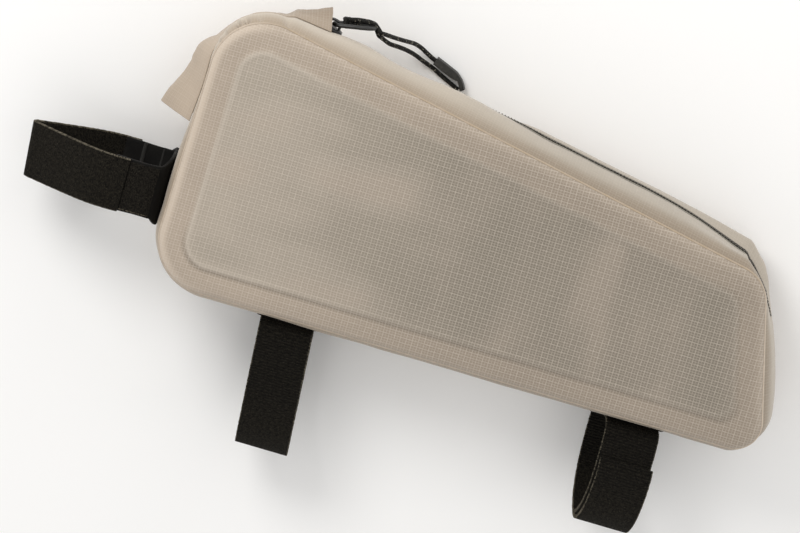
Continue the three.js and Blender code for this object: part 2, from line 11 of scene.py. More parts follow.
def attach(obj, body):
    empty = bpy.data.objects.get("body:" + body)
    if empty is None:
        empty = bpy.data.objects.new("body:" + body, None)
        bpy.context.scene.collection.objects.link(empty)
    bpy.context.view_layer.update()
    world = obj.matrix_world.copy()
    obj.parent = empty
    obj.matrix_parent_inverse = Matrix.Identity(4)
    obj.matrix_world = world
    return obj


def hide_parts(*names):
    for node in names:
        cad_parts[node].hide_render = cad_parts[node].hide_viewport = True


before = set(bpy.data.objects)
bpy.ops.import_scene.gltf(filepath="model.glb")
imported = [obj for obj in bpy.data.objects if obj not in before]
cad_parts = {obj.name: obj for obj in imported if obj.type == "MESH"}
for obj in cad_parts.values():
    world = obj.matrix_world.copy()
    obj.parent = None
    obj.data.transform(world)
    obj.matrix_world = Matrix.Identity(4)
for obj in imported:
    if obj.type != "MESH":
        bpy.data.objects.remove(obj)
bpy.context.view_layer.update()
print("packed model loaded:", len(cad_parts), "nodes")


# Camera, floor and light

slump = {"share": 0.2, "below": 38, "fore": (98, 126), "up": (52, 92)}  # the front top leans in on its far side


def fade(value, low, high):
    share = min(max((value - low) / (high - low), 0), 1)
    return share * share * (3 - 2 * share)


def toPart(x, y, z, soft=False):  # millimetres from the base seam's front corner, to metres in the part's frame
    if soft:
        lean = slump["share"] * (1 - fade(x, *slump["fore"])) * fade(y, *slump["up"])
        y -= lean * max(slump["below"] - z, 0)
    return Vector(((x - 92.3417) * 0.001, (y - 28.6863) * 0.001, z * 0.001))


view = {
    "eye": (0.00766, 0.45631, 2.05),
    "aim": (-0.00269, 0.0025, 0.047),
    "roll": 16.217,  # degrees
    "lens": 249.5,
}


def placeCamera():
    data = bpy.data.cameras.new("camera")
    camera = bpy.data.objects.new("camera", data)
    bpy.context.scene.collection.objects.link(camera)
    eye = Vector(view["eye"])
    ahead = (Vector(view["aim"]) - eye).normalized()
    right = ahead.cross(Vector((0, 1, 0))).normalized()
    up = right.cross(ahead)
    turned = Matrix.Rotation(math.radians(view["roll"]), 3, -ahead)
    right = turned @ right
    up = turned @ up
    camera.matrix_world = Matrix((
        (right.x, up.x, -ahead.x, eye.x),
        (right.y, up.y, -ahead.y, eye.y),
        (right.z, up.z, -ahead.z, eye.z),
        (0, 0, 0, 1),
    ))
    data.sensor_width = 36
    data.lens = view["lens"]
    data.clip_start = 0.05
    data.clip_end = 20
    bpy.context.scene.camera = camera


studio = {
    "world": (1.0, 0.99, 0.975),
    "worldPower": 0.78,
    "lamps": [
        {"name": "key", "at": (-0.42, 0.5, 0.62), "size": 0.4, "power": 2.9, "colour": (1.0, 0.985, 0.96)},
        {"name": "high", "at": (0.5, 1.0, 0.3), "size": 0.7, "power": 1.8, "colour": (1.0, 0.99, 0.97)},
        {"name": "right", "at": (1.1, 0.0, 0.3), "size": 0.6, "power": 1.8, "colour": (1.0, 0.99, 0.97)},
    ],
}


def lightStudio():
    world = bpy.data.worlds.new("studio")
    bpy.context.scene.world = world
    world.use_nodes = True
    sky = world.node_tree.nodes["Background"]
    sky.inputs["Color"].default_value = (*studio["world"], 1)
    sky.inputs["Strength"].default_value = studio["worldPower"]
    for row in studio["lamps"]:
        data = bpy.data.lights.new(row["name"], "AREA")
        data.shape = "DISK"
        data.size = row["size"]
        data.energy = row["power"]
        data.color = row["colour"]
        lamp = bpy.data.objects.new(row["name"], data)
        lamp.location = row["at"]
        lamp.rotation_mode = "QUATERNION"
        lamp.rotation_quaternion = (-Vector(row["at"])).to_track_quat("-Z", "Y")
        bpy.context.scene.collection.objects.link(lamp)


placeCamera()
lightStudio()
bpy.context.scene.view_settings.view_transform = "Standard"  # paint as it is named, with a clean white floor


# Shader helpers

def addNode(tree, kind, settings=None, inputs=None):
    made = tree.nodes.new(kind)
    for key, value in (settings or {}).items():
        setattr(made, key, value)
    for key, value in (inputs or {}).items():
        if isinstance(value, bpy.types.NodeSocket):
            tree.links.new(value, made.inputs[key])
        else:
            made.inputs[key].default_value = value
    return made


def calc(tree, operation, *values):
    return addNode(tree, "ShaderNodeMath", {"operation": operation}, dict(enumerate(values))).outputs[0]


def times(tree, first, *more):
    for value in more:
        first = calc(tree, "MULTIPLY", first, value)
    return first


def parts(tree, value):
    return addNode(tree, "ShaderNodeSeparateXYZ", {}, {0: value}).outputs


def objectPlace(tree):
    return addNode(tree, "ShaderNodeTexCoord").outputs["Object"]


def smooth(tree, value, low, high, toLow=0.0, toHigh=1.0):
    inputs = {"Value": value, "From Min": low, "From Max": high, "To Min": toLow, "To Max": toHigh}
    return addNode(tree, "ShaderNodeMapRange", {"interpolation_type": "SMOOTHSTEP"}, inputs).outputs[0]


def mix(tree, share, first, second, blend="MIX"):
    settings = {"data_type": "RGBA", "blend_type": blend}
    return addNode(tree, "ShaderNodeMix", settings, {0: share, 6: first, 7: second}).outputs[2]


def cloudy(tree, place, scale, detail=2.0, rough=0.5):
    inputs = {"Vector": place, "Scale": scale, "Detail": detail, "Roughness": rough}
    return addNode(tree, "ShaderNodeTexNoise", {}, inputs).outputs["Fac"]


def moved(tree, place, scale=(1, 1, 1), turn=0.0):
    inputs = {"Vector": place, "Rotation": (0, 0, math.radians(turn)), "Scale": scale}
    return addNode(tree, "ShaderNodeMapping", {}, inputs).outputs[0]


def paint(red, green, blue):  # screen colour, 0 to 255, to a linear one
    def line(value):
        value /= 255
        return value / 12.92 if value < 0.04045 else ((value + 0.055) / 1.055) ** 2.4
    return (line(red), line(green), line(blue), 1)


def newGroup(name, inputs, outputs):
    tree = bpy.data.node_groups.new(name, "ShaderNodeTree")
    for label, kind, value in inputs:
        socket = tree.interface.new_socket(label, in_out="INPUT", socket_type=kind)
        if value is not None:
            socket.default_value = value
    for label, kind in outputs:
        tree.interface.new_socket(label, in_out="OUTPUT", socket_type=kind)
    return tree, tree.nodes.new("NodeGroupInput").outputs, tree.nodes.new("NodeGroupOutput").inputs


def useGroup(tree, group, inputs):
    made = tree.nodes.new("ShaderNodeGroup")
    made.node_tree = group
    for key, value in inputs.items():
        if isinstance(value, bpy.types.NodeSocket):
            tree.links.new(value, made.inputs[key])
        else:
            made.inputs[key].default_value = value
    return made.outputs


def newMaterial(name, settings):
    material = bpy.data.materials.new(name)
    material.use_nodes = True
    tree = material.node_tree
    shader = tree.nodes["Principled BSDF"]
    for key, value in settings.items():
        shader.inputs[key].default_value = value
    return material, tree, shader


def bump(tree, shader, height, depth, strength=1.0):
    made = addNode(tree, "ShaderNodeBump", {}, {"Height": height, "Distance": depth, "Strength": strength})
    tree.links.new(made.outputs[0], shader.inputs["Normal"])


# Shared effects

def threadGrid():  # the light ripstop grid, with a finer one at half its pitch
    tree, given, out = newGroup("threadGrid", [
        ("Place", "NodeSocketVector", None),
        ("Pitch Along", "NodeSocketFloat", 0.00226),
        ("Pitch Across", "NodeSocketFloat", 0.00196),
    ], [("Lines", "NodeSocketFloat"), ("Fine", "NodeSocketFloat"), ("Threads", "NodeSocketFloat")])
    axes = parts(tree, given["Place"])
    drift = times(tree, calc(tree, "SUBTRACT", cloudy(tree, given["Place"], 70), 0.5), 0.0005)
    masks = []
    for share, reach in ((1.0, 0.00026), (0.5, 0.00024)):
        pair = []
        for axis, pitch in ((0, given["Pitch Along"]), (1, given["Pitch Across"])):
            spread = times(tree, pitch, share)
            at = calc(tree, "FRACT", calc(tree, "DIVIDE", calc(tree, "ADD", axes[axis], drift), spread))
            away = calc(tree, "SUBTRACT", 0.5, calc(tree, "ABSOLUTE", calc(tree, "SUBTRACT", at, 0.5)))
            pair.append(smooth(tree, times(tree, away, spread), 0.00003, reach, 1.0, 0.0))
        masks.append(calc(tree, "MAXIMUM", pair[0], pair[1]))
    uneven = smooth(tree, cloudy(tree, given["Place"], 900, 3), 0.3, 0.7, 0.55, 1.0)
    tree.links.new(times(tree, masks[0], uneven), out["Lines"])
    tree.links.new(times(tree, masks[1], uneven), out["Fine"])
    tree.links.new(cloudy(tree, given["Place"], 3200, 2), out["Threads"])
    return tree


def showThrough():  # soft pale and dark shapes of what lies behind a thin coated cloth
    tree, given, out = newGroup("showThrough", [("Place", "NodeSocketVector", None)], [
        ("Pale", "NodeSocketFloat"), ("Dark", "NodeSocketFloat")])
    along = parts(tree, given["Place"])[0]
    aft = smooth(tree, along, -0.03, 0.05)
    slanted = cloudy(tree, moved(tree, given["Place"], (0.55, 1.6, 1), -44), 30, 1.2)
    upright = cloudy(tree, moved(tree, given["Place"], (1.35, 0.5, 1), -6), 34, 1.2)
    shapes = addNode(tree, "ShaderNodeMix", {"data_type": "FLOAT"}, {0: aft, 2: slanted, 3: upright}).outputs[0]
    tree.links.new(smooth(tree, shapes, 0.5, 0.68), out["Pale"])
    dark = smooth(tree, shapes, 0.5, 0.34)
    tree.links.new(times(tree, dark, smooth(tree, along, -0.08, 0.03, 0.35, 1.0)), out["Dark"])
    return tree


def pileFuzz():  # short matted loops of a hook-and-loop strap
    tree, given, out = newGroup("pileFuzz", [("Place", "NodeSocketVector", None)], [
        ("Tone", "NodeSocketFloat"), ("Height", "NodeSocketFloat")])
    strands = cloudy(tree, moved(tree, given["Place"], (1.7, 0.8, 0), 12), 1500, 4, 0.7)
    tufts = cloudy(tree, moved(tree, given["Place"], (1, 1, 0)), 760, 3, 0.6)
    blend = calc(tree, "MULTIPLY_ADD", tufts, 0.3, times(tree, strands, 0.7))
    tree.links.new(smooth(tree, blend, 0.4, 0.62), out["Tone"])
    tree.links.new(calc(tree, "ADD", strands, times(tree, tufts, 0.5)), out["Height"])
    return tree


def crossRibs():  # ribs of webbing across its length
    tree, given, out = newGroup("crossRibs", [
        ("Place", "NodeSocketVector", None), ("Pitch", "NodeSocketFloat", 0.0011)], [("Height", "NodeSocketFloat")])
    along = parts(tree, given["Place"])[0]
    jog = times(tree, cloudy(tree, moved(tree, given["Place"], (1, 1, 0)), 600), 0.0005)
    at = calc(tree, "FRACT", calc(tree, "DIVIDE", calc(tree, "ADD", along, jog), given["Pitch"]))
    rib = calc(tree, "SINE", times(tree, at, math.pi))
    tree.links.new(rib, out["Height"])
    return tree


groups = {
    "grid": threadGrid(),
    "through": showThrough(),
    "pile": pileFuzz(),
    "ribs": crossRibs(),
}


# Materials

clothTones = {
    "field": paint(171, 160, 146),
    "border": paint(173, 158, 142),
    "aft": paint(222, 222, 221),  # multiplies all cloth darker toward the tail: partly painted shade for the light falling off away from the key lamp, partly darker cloth there
    # pale seam tone, also used as a painted highlight along the panels' front seams
    "tapeToneAndHighlight": paint(216, 200, 182),
    # the ripstop threads' pale colour, also used for a painted highlight line along the stiffener plate's edge
    "line": paint(205, 194, 180),
    "pale": paint(176, 162, 147),
    # the panel field's tone toward the tail: partly darker cloth, partly painted shade for the light falling off
    "fieldAftToneAndShade": paint(156, 145, 131),
    "dark": paint(146, 137, 123),
    # painted shadow at the stiffener plate's edge, along the panels' bottom and rear
    "edgeShadow": paint(128, 117, 103),
    "weld": paint(166, 148, 124),
    "bandEdge": paint(172, 156, 137),
    # the band's middle tone: partly its own paler cloth, partly painted light standing for the light on the bag's top
    "bandMiddlePaleAndLit": paint(202, 191, 176),
    "hood": paint(181, 165, 147),
    # painted shade: the hood's colour toward its rear end, darker than its lit front
    "hoodRearShade": paint(152, 136, 118),
}


def weaveOf(tree):  # along and across the cloth in metres, and the distance from its seam
    made = addNode(tree, "ShaderNodeAttribute", {"attribute_name": "weave"})
    return made.outputs["Vector"]


def makeCloth(name, seeThrough, lines, tapeToneAndHighlight, edge, middle, further):
    material, tree, shader = newMaterial(name, {
        "Sheen Weight": 0.12, "Sheen Roughness": 0.5, "Specular IOR Level": 0.4,
    })
    weave = weaveOf(tree)
    run, across, inset = parts(tree, weave)
    place = objectPlace(tree)
    along = parts(tree, place)[0]
    tones = clothTones
    grid = useGroup(tree, groups["grid"], {"Place": weave})
    step = (0.0085, 0.0112) if seeThrough else (0.001, 0.008)
    # the tone shifts along the bag to the further colour: partly painted shade, on the panels toward the tail and on
    # the hood toward its rear end
    inner = mix(tree, smooth(tree, along, *further[1:]), tones[middle], tones[further[0]])
    colour = mix(tree, smooth(tree, inset, *step), tones[edge] if edge else inner, inner)
    if seeThrough:
        shapes = useGroup(tree, groups["through"], {"Place": place})
        within = smooth(tree, inset, 0.006, 0.016)
        colour = mix(tree, times(tree, shapes["Pale"], within, seeThrough), colour, tones["pale"])
        colour = mix(tree, times(tree, shapes["Dark"], within, seeThrough), colour, tones["dark"])
    # painted shade in part: all cloth is multiplied darker toward the tail, standing for the light falling off away
    # from the key lamp as well as darker cloth there
    darker = mix(tree, 1.0, colour, tones["aft"], "MULTIPLY")
    colour = mix(tree, smooth(tree, along, -0.1, 0.06), colour, darker)
    # painted highlight: a light line along the stiffener plate's edge, strongest at the front where the light catches
    # it
    edgeHighlight = times(tree, smooth(tree, inset, 0.0094, 0.0105), smooth(tree, inset, 0.0108, 0.0122, 1.0, 0.0))
    fore = smooth(tree, run, 0.02, 0.06, 1.0, 0.25)
    colour = mix(tree, times(tree, edgeHighlight, fore, 0.3), colour, tones["line"])
    # painted shadow: a dark line at the stiffener plate's edge along the panels' bottom and rear, where the plate
    # shades the cloth
    low = smooth(tree, across, 0.012, 0.03, 1.0, 0.0)
    under = calc(tree, "MAXIMUM", low, smooth(tree, run, 0.18, 0.2))
    edgeShadow = times(tree, smooth(tree, inset, 0.0078, 0.0092), smooth(tree, inset, 0.0094, 0.0108, 1.0, 0.0))
    colour = mix(tree, times(tree, edgeShadow, under, 0.45 if seeThrough else 0.0), colour, tones["edgeShadow"])
    # pale seam band: a faint pale tape tone along seams and edges, raised on the panels' front seams into a painted
    # highlight where the rolled edge faces the light
    seam = smooth(tree, inset, 0.0008, 0.004, 1.0, 0.0)
    front = smooth(tree, along, -0.09, -0.065, 0.75, tapeToneAndHighlight) if seeThrough else tapeToneAndHighlight
    colour = mix(tree, times(tree, seam, front), colour, tones["tapeToneAndHighlight"])
    mottled = smooth(tree, cloudy(tree, weave, 45, 4, 0.6), 0.3, 0.7, 0.85, 0.91)
    light = addNode(tree, "ShaderNodeCombineXYZ", {}, {0: mottled, 1: mottled, 2: mottled}).outputs[0]
    colour = mix(tree, 1.0, colour, light, "MULTIPLY")
    thread = calc(tree, "MAXIMUM", grid["Lines"], times(tree, grid["Fine"], 0.62))
    colour = mix(tree, times(tree, thread, lines), colour, tones["line"])
    tree.links.new(colour, shader.inputs["Base Color"])
    tree.links.new(smooth(tree, grid["Threads"], 0.3, 0.7, 0.5, 0.64), shader.inputs["Roughness"])
    height = calc(tree, "ADD", times(tree, grid["Lines"], 0.6), times(tree, grid["Threads"], 0.35))
    height = calc(tree, "ADD", height, times(tree, cloudy(tree, weave, 160, 3), 1.2))
    bump(tree, shader, height, 0.00012, 0.7)
    return material


def makeBead():  # the welded seam: pale at the sides, browner along the top
    material, tree, shader = newMaterial("seamWeld", {"Roughness": 0.5, "Specular IOR Level": 0.45})
    weave = weaveOf(tree)
    top = parts(tree, weave)[2]
    colour = mix(tree, top, paint(192, 177, 159), clothTones["weld"])
    speck = smooth(tree, cloudy(tree, weave, 300, 3), 0.35, 0.65, 0.1, 0.6)
    tree.links.new(mix(tree, speck, colour, clothTones["border"]), shader.inputs["Base Color"])
    bump(tree, shader, cloudy(tree, weave, 900, 2), 0.00008)
    return material


def makeStrapPile(name, low, high):
    material, tree, shader = newMaterial(name, {
        "Specular IOR Level": 0.08, "Sheen Weight": 0.03, "Sheen Roughness": 0.5,
        "Sheen Tint": (0.5, 0.46, 0.4, 1), "Roughness": 0.95,
    })
    weave = weaveOf(tree)
    fuzz = useGroup(tree, groups["pile"], {"Place": weave})
    ribs = useGroup(tree, groups["ribs"], {"Place": weave})
    ribbed = parts(tree, weave)[2]
    colour = mix(tree, fuzz["Tone"], low, high)
    gap = times(tree, smooth(tree, ribs["Height"], 0.25, 0.75, 1.0, 0.0), times(tree, ribbed, 0.6))
    colour = mix(tree, gap, colour, low)
    fleck = smooth(tree, cloudy(tree, moved(tree, weave, (1, 1, 0)), 2600, 2), 0.62, 0.7)
    colour = mix(tree, times(tree, fleck, 0.4), colour, paint(92, 86, 72))
    across = parts(tree, weave)[1]
    inward = calc(tree, "MINIMUM", across, calc(tree, "SUBTRACT", 0.0205, across))
    selvedge = times(tree, smooth(tree, inward, 0.0002, 0.0005, 0.5, 0.0), smooth(tree, fuzz["Height"], 0.6, 0.9))
    colour = mix(tree, selvedge, colour, paint(150, 142, 124))
    tree.links.new(colour, shader.inputs["Base Color"])
    height = calc(tree, "ADD", fuzz["Height"], times(tree, ribs["Height"], ribbed))
    bump(tree, shader, height, 0.0008, 1.0)
    return material


def makeStrapBack():  # woven back of the strap, seen inside the loops
    material, tree, shader = newMaterial("strapBack", {"Roughness": 0.9, "Specular IOR Level": 0.2})
    weave = weaveOf(tree)
    ribs = useGroup(tree, groups["ribs"], {"Place": weave, "Pitch": 0.0009})
    tree.links.new(mix(tree, ribs["Height"], paint(6, 6, 5), paint(17, 16, 14)), shader.inputs["Base Color"])
    bump(tree, shader, ribs["Height"], 0.0002)
    return material


def makeStrapRim():  # cut edges of the straps, where paler threads show
    material, tree, shader = newMaterial("strapRim", {"Roughness": 0.85, "Specular IOR Level": 0.3})
    threads = smooth(tree, cloudy(tree, moved(tree, weaveOf(tree), (1, 0.5, 0)), 1300, 3), 0.42, 0.6)
    tree.links.new(mix(tree, threads, paint(58, 54, 46), paint(176, 168, 150)), shader.inputs["Base Color"])
    bump(tree, shader, threads, 0.0002)
    return material


def makeSmoothBase():
    material, tree, shader = newMaterial("smoothBase", {"Specular IOR Level": 0.12})
    weave = weaveOf(tree)
    worn = cloudy(tree, weave, 120, 4)
    colour = mix(tree, smooth(tree, worn, 0.35, 0.7), paint(12, 11, 10), paint(22, 21, 19))
    tree.links.new(colour, shader.inputs["Base Color"])
    tree.links.new(smooth(tree, worn, 0.3, 0.7, 0.55, 0.7), shader.inputs["Roughness"])
    bump(tree, shader, cloudy(tree, weave, 1800, 3), 0.00008)
    return material


def makePlain(name, low, high, scale, rough, depth, settings=None):
    material, tree, shader = newMaterial(name, settings or {})
    place = objectPlace(tree)
    grain = cloudy(tree, place, scale, 4, 0.6)
    tree.links.new(mix(tree, smooth(tree, grain, 0.35, 0.65), low, high), shader.inputs["Base Color"])
    tree.links.new(smooth(tree, grain, 0.3, 0.7, rough - 0.06, rough + 0.08), shader.inputs["Roughness"])
    bump(tree, shader, grain, depth)
    return material


def makeCordBraid():  # black braid with pale reflective flecks
    material, tree, shader = newMaterial("cordBraid", {"Roughness": 0.75, "Specular IOR Level": 0.35})
    place = objectPlace(tree)
    cells = addNode(tree, "ShaderNodeTexVoronoi", {"feature": "F1"}, {
        "Vector": moved(tree, place, (1, 1.4, 1), 20), "Scale": 1900,
    })
    braid = smooth(tree, cells.outputs["Distance"], 0.1, 0.55, 1.0, 0.0)
    colour = mix(tree, braid, paint(14, 13, 11), paint(44, 41, 34))
    fleck = smooth(tree, cloudy(tree, place, 780, 2), 0.57, 0.62)
    colour = mix(tree, times(tree, fleck, braid), colour, paint(196, 190, 172))
    tree.links.new(colour, shader.inputs["Base Color"])
    bump(tree, shader, braid, 0.0003)
    return material


def makeZipTape():  # pale tape, with painted shade beside the coil and a painted shadow where the gusset's slot edge covers it
    material, tree, shader = newMaterial("zipTape", {"Roughness": 0.8, "Specular IOR Level": 0.25})
    weave = weaveOf(tree)
    away = parts(tree, weave)[1]
    # painted shade: darker beside the coil, and a painted shadow from the middle of the tape outward under the
    # gusset's slot edge
    inner = smooth(tree, away, 0.001, 0.0012, 0.5, 0.0)
    outer = smooth(tree, away, 0.0022, 0.0024)
    dark = calc(tree, "MAXIMUM", inner, outer)
    colour = mix(tree, dark, paint(172, 166, 153), paint(34, 32, 29))
    threads = smooth(tree, cloudy(tree, weave, 2600, 3), 0.35, 0.65)
    tree.links.new(mix(tree, times(tree, threads, 0.35), colour, paint(70, 66, 60)), shader.inputs["Base Color"])
    bump(tree, shader, threads, 0.0001)
    return material


materials = {
    "panelCloth": makeCloth("panelCloth", 0.7, 0.56, 0.1, "border", "field", ("fieldAftToneAndShade", -0.06, 0.04)),
    # the band's middle tone is partly painted light
    "bandCloth": makeCloth("bandCloth", 0.0, 0.2, 0.0, "bandEdge", "bandMiddlePaleAndLit", ("bandMiddlePaleAndLit", 0, 1)),
    # the hood's rear colour is painted shade
    "hoodCloth": makeCloth("hoodCloth", 0.0, 0.26, 0.2, None, "hood", ("hoodRearShade", -0.085, -0.06)),
    "seamWeld": makeBead(),
    "strapPile": makeStrapPile("strapPile", paint(8, 7, 6), paint(40, 37, 31)),
    "strapBack": makeStrapBack(),
    "strapRim": makeStrapRim(),
    "hookTape": makeStrapPile("hookTape", paint(8, 7, 6), paint(40, 37, 32)),
    "smoothBase": makeSmoothBase(),
    "zipTape": makeZipTape(),
    "zipTeeth": makePlain("zipTeeth", paint(56, 53, 48), paint(96, 92, 84), 900, 0.45, 0.00004),
    "blackMetal": makePlain("blackMetal", paint(14, 14, 13), paint(30, 29, 27), 1400, 0.4, 0.00005, {
        "Specular IOR Level": 0.6,
    }),
    "anchorCloth": makePlain("anchorCloth", paint(22, 21, 19), paint(42, 40, 36), 2400, 0.8, 0.0002),
    "endPlastic": makePlain("endPlastic", paint(34, 34, 32), paint(50, 49, 46), 1500, 0.5, 0.00006),
    "cordBraid": makeCordBraid(),
    "baseStitch": makePlain("baseStitch", paint(12, 11, 10), paint(34, 32, 28), 3000, 0.8, 0.0001),
}
print("materials made:", len(materials))


# Shape helpers

def deselect():
    for thing in bpy.context.selected_objects:
        thing.select_set(False)
    bpy.context.view_layer.objects.active = None


def between(rows, at):  # smooth curve through rows of (place, value)
    k = min(max(bisect_left([row[0] for row in rows], at), 1), len(rows) - 1)
    (a, low), (b, high) = rows[k - 1], rows[k]
    share = min(max((at - a) / (b - a), 0), 1)

    def slope(j):
        first, last = rows[max(j - 1, 0)], rows[min(j + 1, len(rows) - 1)]
        return (last[1] - first[1]) / (last[0] - first[0])
    s2, s3 = share * share, share ** 3
    return ((2 * s3 - 3 * s2 + 1) * low + (s3 - 2 * s2 + share) * (b - a) * slope(k - 1)
            + (3 * s2 - 2 * s3) * high + (s3 - s2) * (b - a) * slope(k))


def curveThrough(points, count, closed=False):  # centripetal curve, sampled at even steps
    if closed:
        around = [points[-1], *points, points[0], points[1]]
    else:
        around = [points[0] * 2 - points[1], *points, points[-1] * 2 - points[-2]]
    fine = []
    for a, b, c, d in zip(around, around[1:], around[2:], around[3:]):
        t1 = (b - a).length ** 0.5
        t2 = t1 + (c - b).length ** 0.5
        t3 = t2 + (d - c).length ** 0.5
        for k in range(24):
            t = t1 + (t2 - t1) * k / 24
            ab = a.lerp(b, t / t1)
            bc = b.lerp(c, (t - t1) / (t2 - t1))
            cd = c.lerp(d, (t - t2) / (t3 - t2))
            fine.append(ab.lerp(bc, t / t2).lerp(bc.lerp(cd, (t - t1) / (t3 - t1)), (t - t1) / (t2 - t1)))
    fine.append(around[-2].copy())
    run = [0.0]
    for a, b in zip(fine, fine[1:]):
        run.append(run[-1] + (b - a).length)
    even = []
    for k in range(count):
        want = run[-1] * k / (count - 1)
        j = min(max(bisect_left(run, want), 1), len(run) - 1)
        even.append(fine[j - 1].lerp(fine[j], (want - run[j - 1]) / max(run[j] - run[j - 1], 1e-9)))
    return even, run[-1]


def laidGrid(name, columns, rows, lay, outward, drop=None):
    # a grid whose vertices lay(u, v) puts in place, each with its weave coordinates
    deselect()
    bpy.ops.mesh.primitive_grid_add(x_subdivisions=columns, y_subdivisions=rows, size=1)
    piece = bpy.context.active_object
    piece.name = name
    piece.data.name = name
    mesh = piece.data
    for layer in list(mesh.uv_layers):
        mesh.uv_layers.remove(layer)
    flat = [(vertex.co.x + 0.5, vertex.co.y + 0.5) for vertex in mesh.vertices]
    laid = [lay(u, v) for u, v in flat]
    for vertex, (point, thread) in zip(mesh.vertices, laid):
        vertex.co = point
    weave = mesh.attributes.new("weave", "FLOAT_VECTOR", "CORNER")
    for loop in mesh.loops:
        weave.data[loop.index].vector = laid[loop.vertex_index][1]
    work = bmesh.new()
    work.from_mesh(mesh)
    if drop:
        gone = []
        for face in work.faces:
            u = sum(flat[v.index][0] for v in face.verts) / len(face.verts)
            v = sum(flat[v.index][1] for v in face.verts) / len(face.verts)
            if drop(u, v):
                gone.append(face)
        bmesh.ops.delete(work, geom=gone, context="FACES")
    work.normal_update()
    work.faces.ensure_lookup_table()
    probe = work.faces[len(work.faces) // 2]
    if probe.normal.dot(Vector(outward)) < 0:
        bmesh.ops.reverse_faces(work, faces=work.faces[:])
    bmesh.ops.remove_doubles(work, verts=work.verts[:], dist=0.000008)
    work.to_mesh(mesh)
    work.free()
    return piece


def addModifier(piece, kind, **settings):
    made = piece.modifiers.new(kind.lower(), kind)
    for key, value in settings.items():
        setattr(made, key, value)
    deselect()
    bpy.context.view_layer.objects.active = piece
    piece.select_set(True)
    bpy.ops.object.modifier_apply(modifier=made.name)


def thicken(piece, wall, offset, inner=0, rim=0, even=True):
    addModifier(piece, "SOLIDIFY", thickness=wall, offset=offset, use_even_offset=even,
                material_offset=inner, material_offset_rim=rim)


def soften(piece, width, angle=50):
    addModifier(piece, "BEVEL", width=width, segments=2, limit_method="ANGLE", angle_limit=math.radians(angle))


def faceOut(piece, centre):  # turns the faces away from a point inside the piece
    work = bmesh.new()
    work.from_mesh(piece.data)
    tally = sum((face.calc_center_median() - centre).dot(face.normal) for face in work.faces)
    if tally < 0:
        bmesh.ops.reverse_faces(work, faces=work.faces[:])
        work.to_mesh(piece.data)
    work.free()


def makeTube(name, points, count, radius, rings):
    even, run = curveThrough(points, count)
    data = bpy.data.curves.new(name, "CURVE")
    data.dimensions = "3D"
    line = data.splines.new("POLY")
    line.points.add(len(even) - 1)
    for spot, point in zip(line.points, even):
        spot.co = (*point, 1)
    data.bevel_depth = radius
    data.bevel_resolution = rings
    data.use_fill_caps = True
    piece = bpy.data.objects.new(name, data)
    bpy.context.scene.collection.objects.link(piece)
    return piece, even, run


def dress(piece, looks, replaces=(), angle=50):
    for look in looks:
        if materials[look].name not in [m.name for m in piece.data.materials if m]:
            piece.data.materials.append(materials[look])
    if piece.type == "MESH":
        deselect()
        bpy.context.view_layer.objects.active = piece
        piece.select_set(True)
        bpy.ops.object.transform_apply(location=True, rotation=True, scale=True)
        bpy.ops.object.shade_smooth_by_angle(angle=math.radians(angle))
    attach(piece, "root")
    if replaces:
        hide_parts(*replaces)


# Outline of the body

body = {
    "corners": [(0, 0, 20), (238, 0, 10), (220.63, 65.1, 14), (2.62, 109.6, 20)],  # x, y, radius
    "leastRadius": 6,
    "rimTop": 45.5,
    "rimBottom": 4.5,
    "crown": 5,
    "zip": (2.78, 4.985),  # places round the outline
    "slot": 5.6,
}
bulgeRows = [(0, 0.65), (1, 0.6), (1.5, 0.4), (2, 0.85), (2.3, 0.95), (2.6, 0.8), (2.8, 0.55), (3, 0.32),
             (3.35, 0.28), (3.6, 0.4), (3.8, 0.66), (4, 1.08), (4.15, 1.28), (4.35, 1.1), (4.5, 1.05),
             (4.85, 0.75), (5, 0.75), (5.55, 0.7), (5.85, 0.4), (6.15, 0.22), (6.35, 0.34), (6.6, 0.55),
             (7, 0.48), (7.5, 0.5), (8, 0.65)]
swellRows = [(4.4, 0), (4.47, 0.1), (4.55, 2), (4.61, 3.2), (4.67, 3.1), (4.73, 2.3), (4.79, 2.2), (4.85, 3),
             (4.9, 2.3), (4.93, 1.4), (5, 0.5), (5.06, 0)]  # the near half over the slider's end of the zip, in mm
cutRows = [(2.7, 0), (2.9, 0.8), (3.1, 1.8), (3.4, 2.6), (3.7, 3.1), (3.84, 3.8), (3.93, 4), (4, 3.6),
           (4.06, 2.5), (4.13, 1.2), (4.22, 0.3), (4.3, 0)]  # the zip cuts the tail corner, in mm
flatRows = [(0, 1), (1, 1), (2, 0.3), (3, 0.2), (4, 0.2), (4.5, 0.1), (4.85, 0.2), (5, 0.2), (6, 0.3),
            (6.5, 0.6), (7, 0.8), (8, 1)]
roundRows = [(0, 0), (0.05, 0.3), (0.12, 0.55), (0.22, 0.8), (0.34, 0.94), (0.5, 1)]
levelRows = [(0, 0), (0.05, 0.5), (0.12, 0.88), (0.22, 1), (0.34, 1), (0.5, 1)]


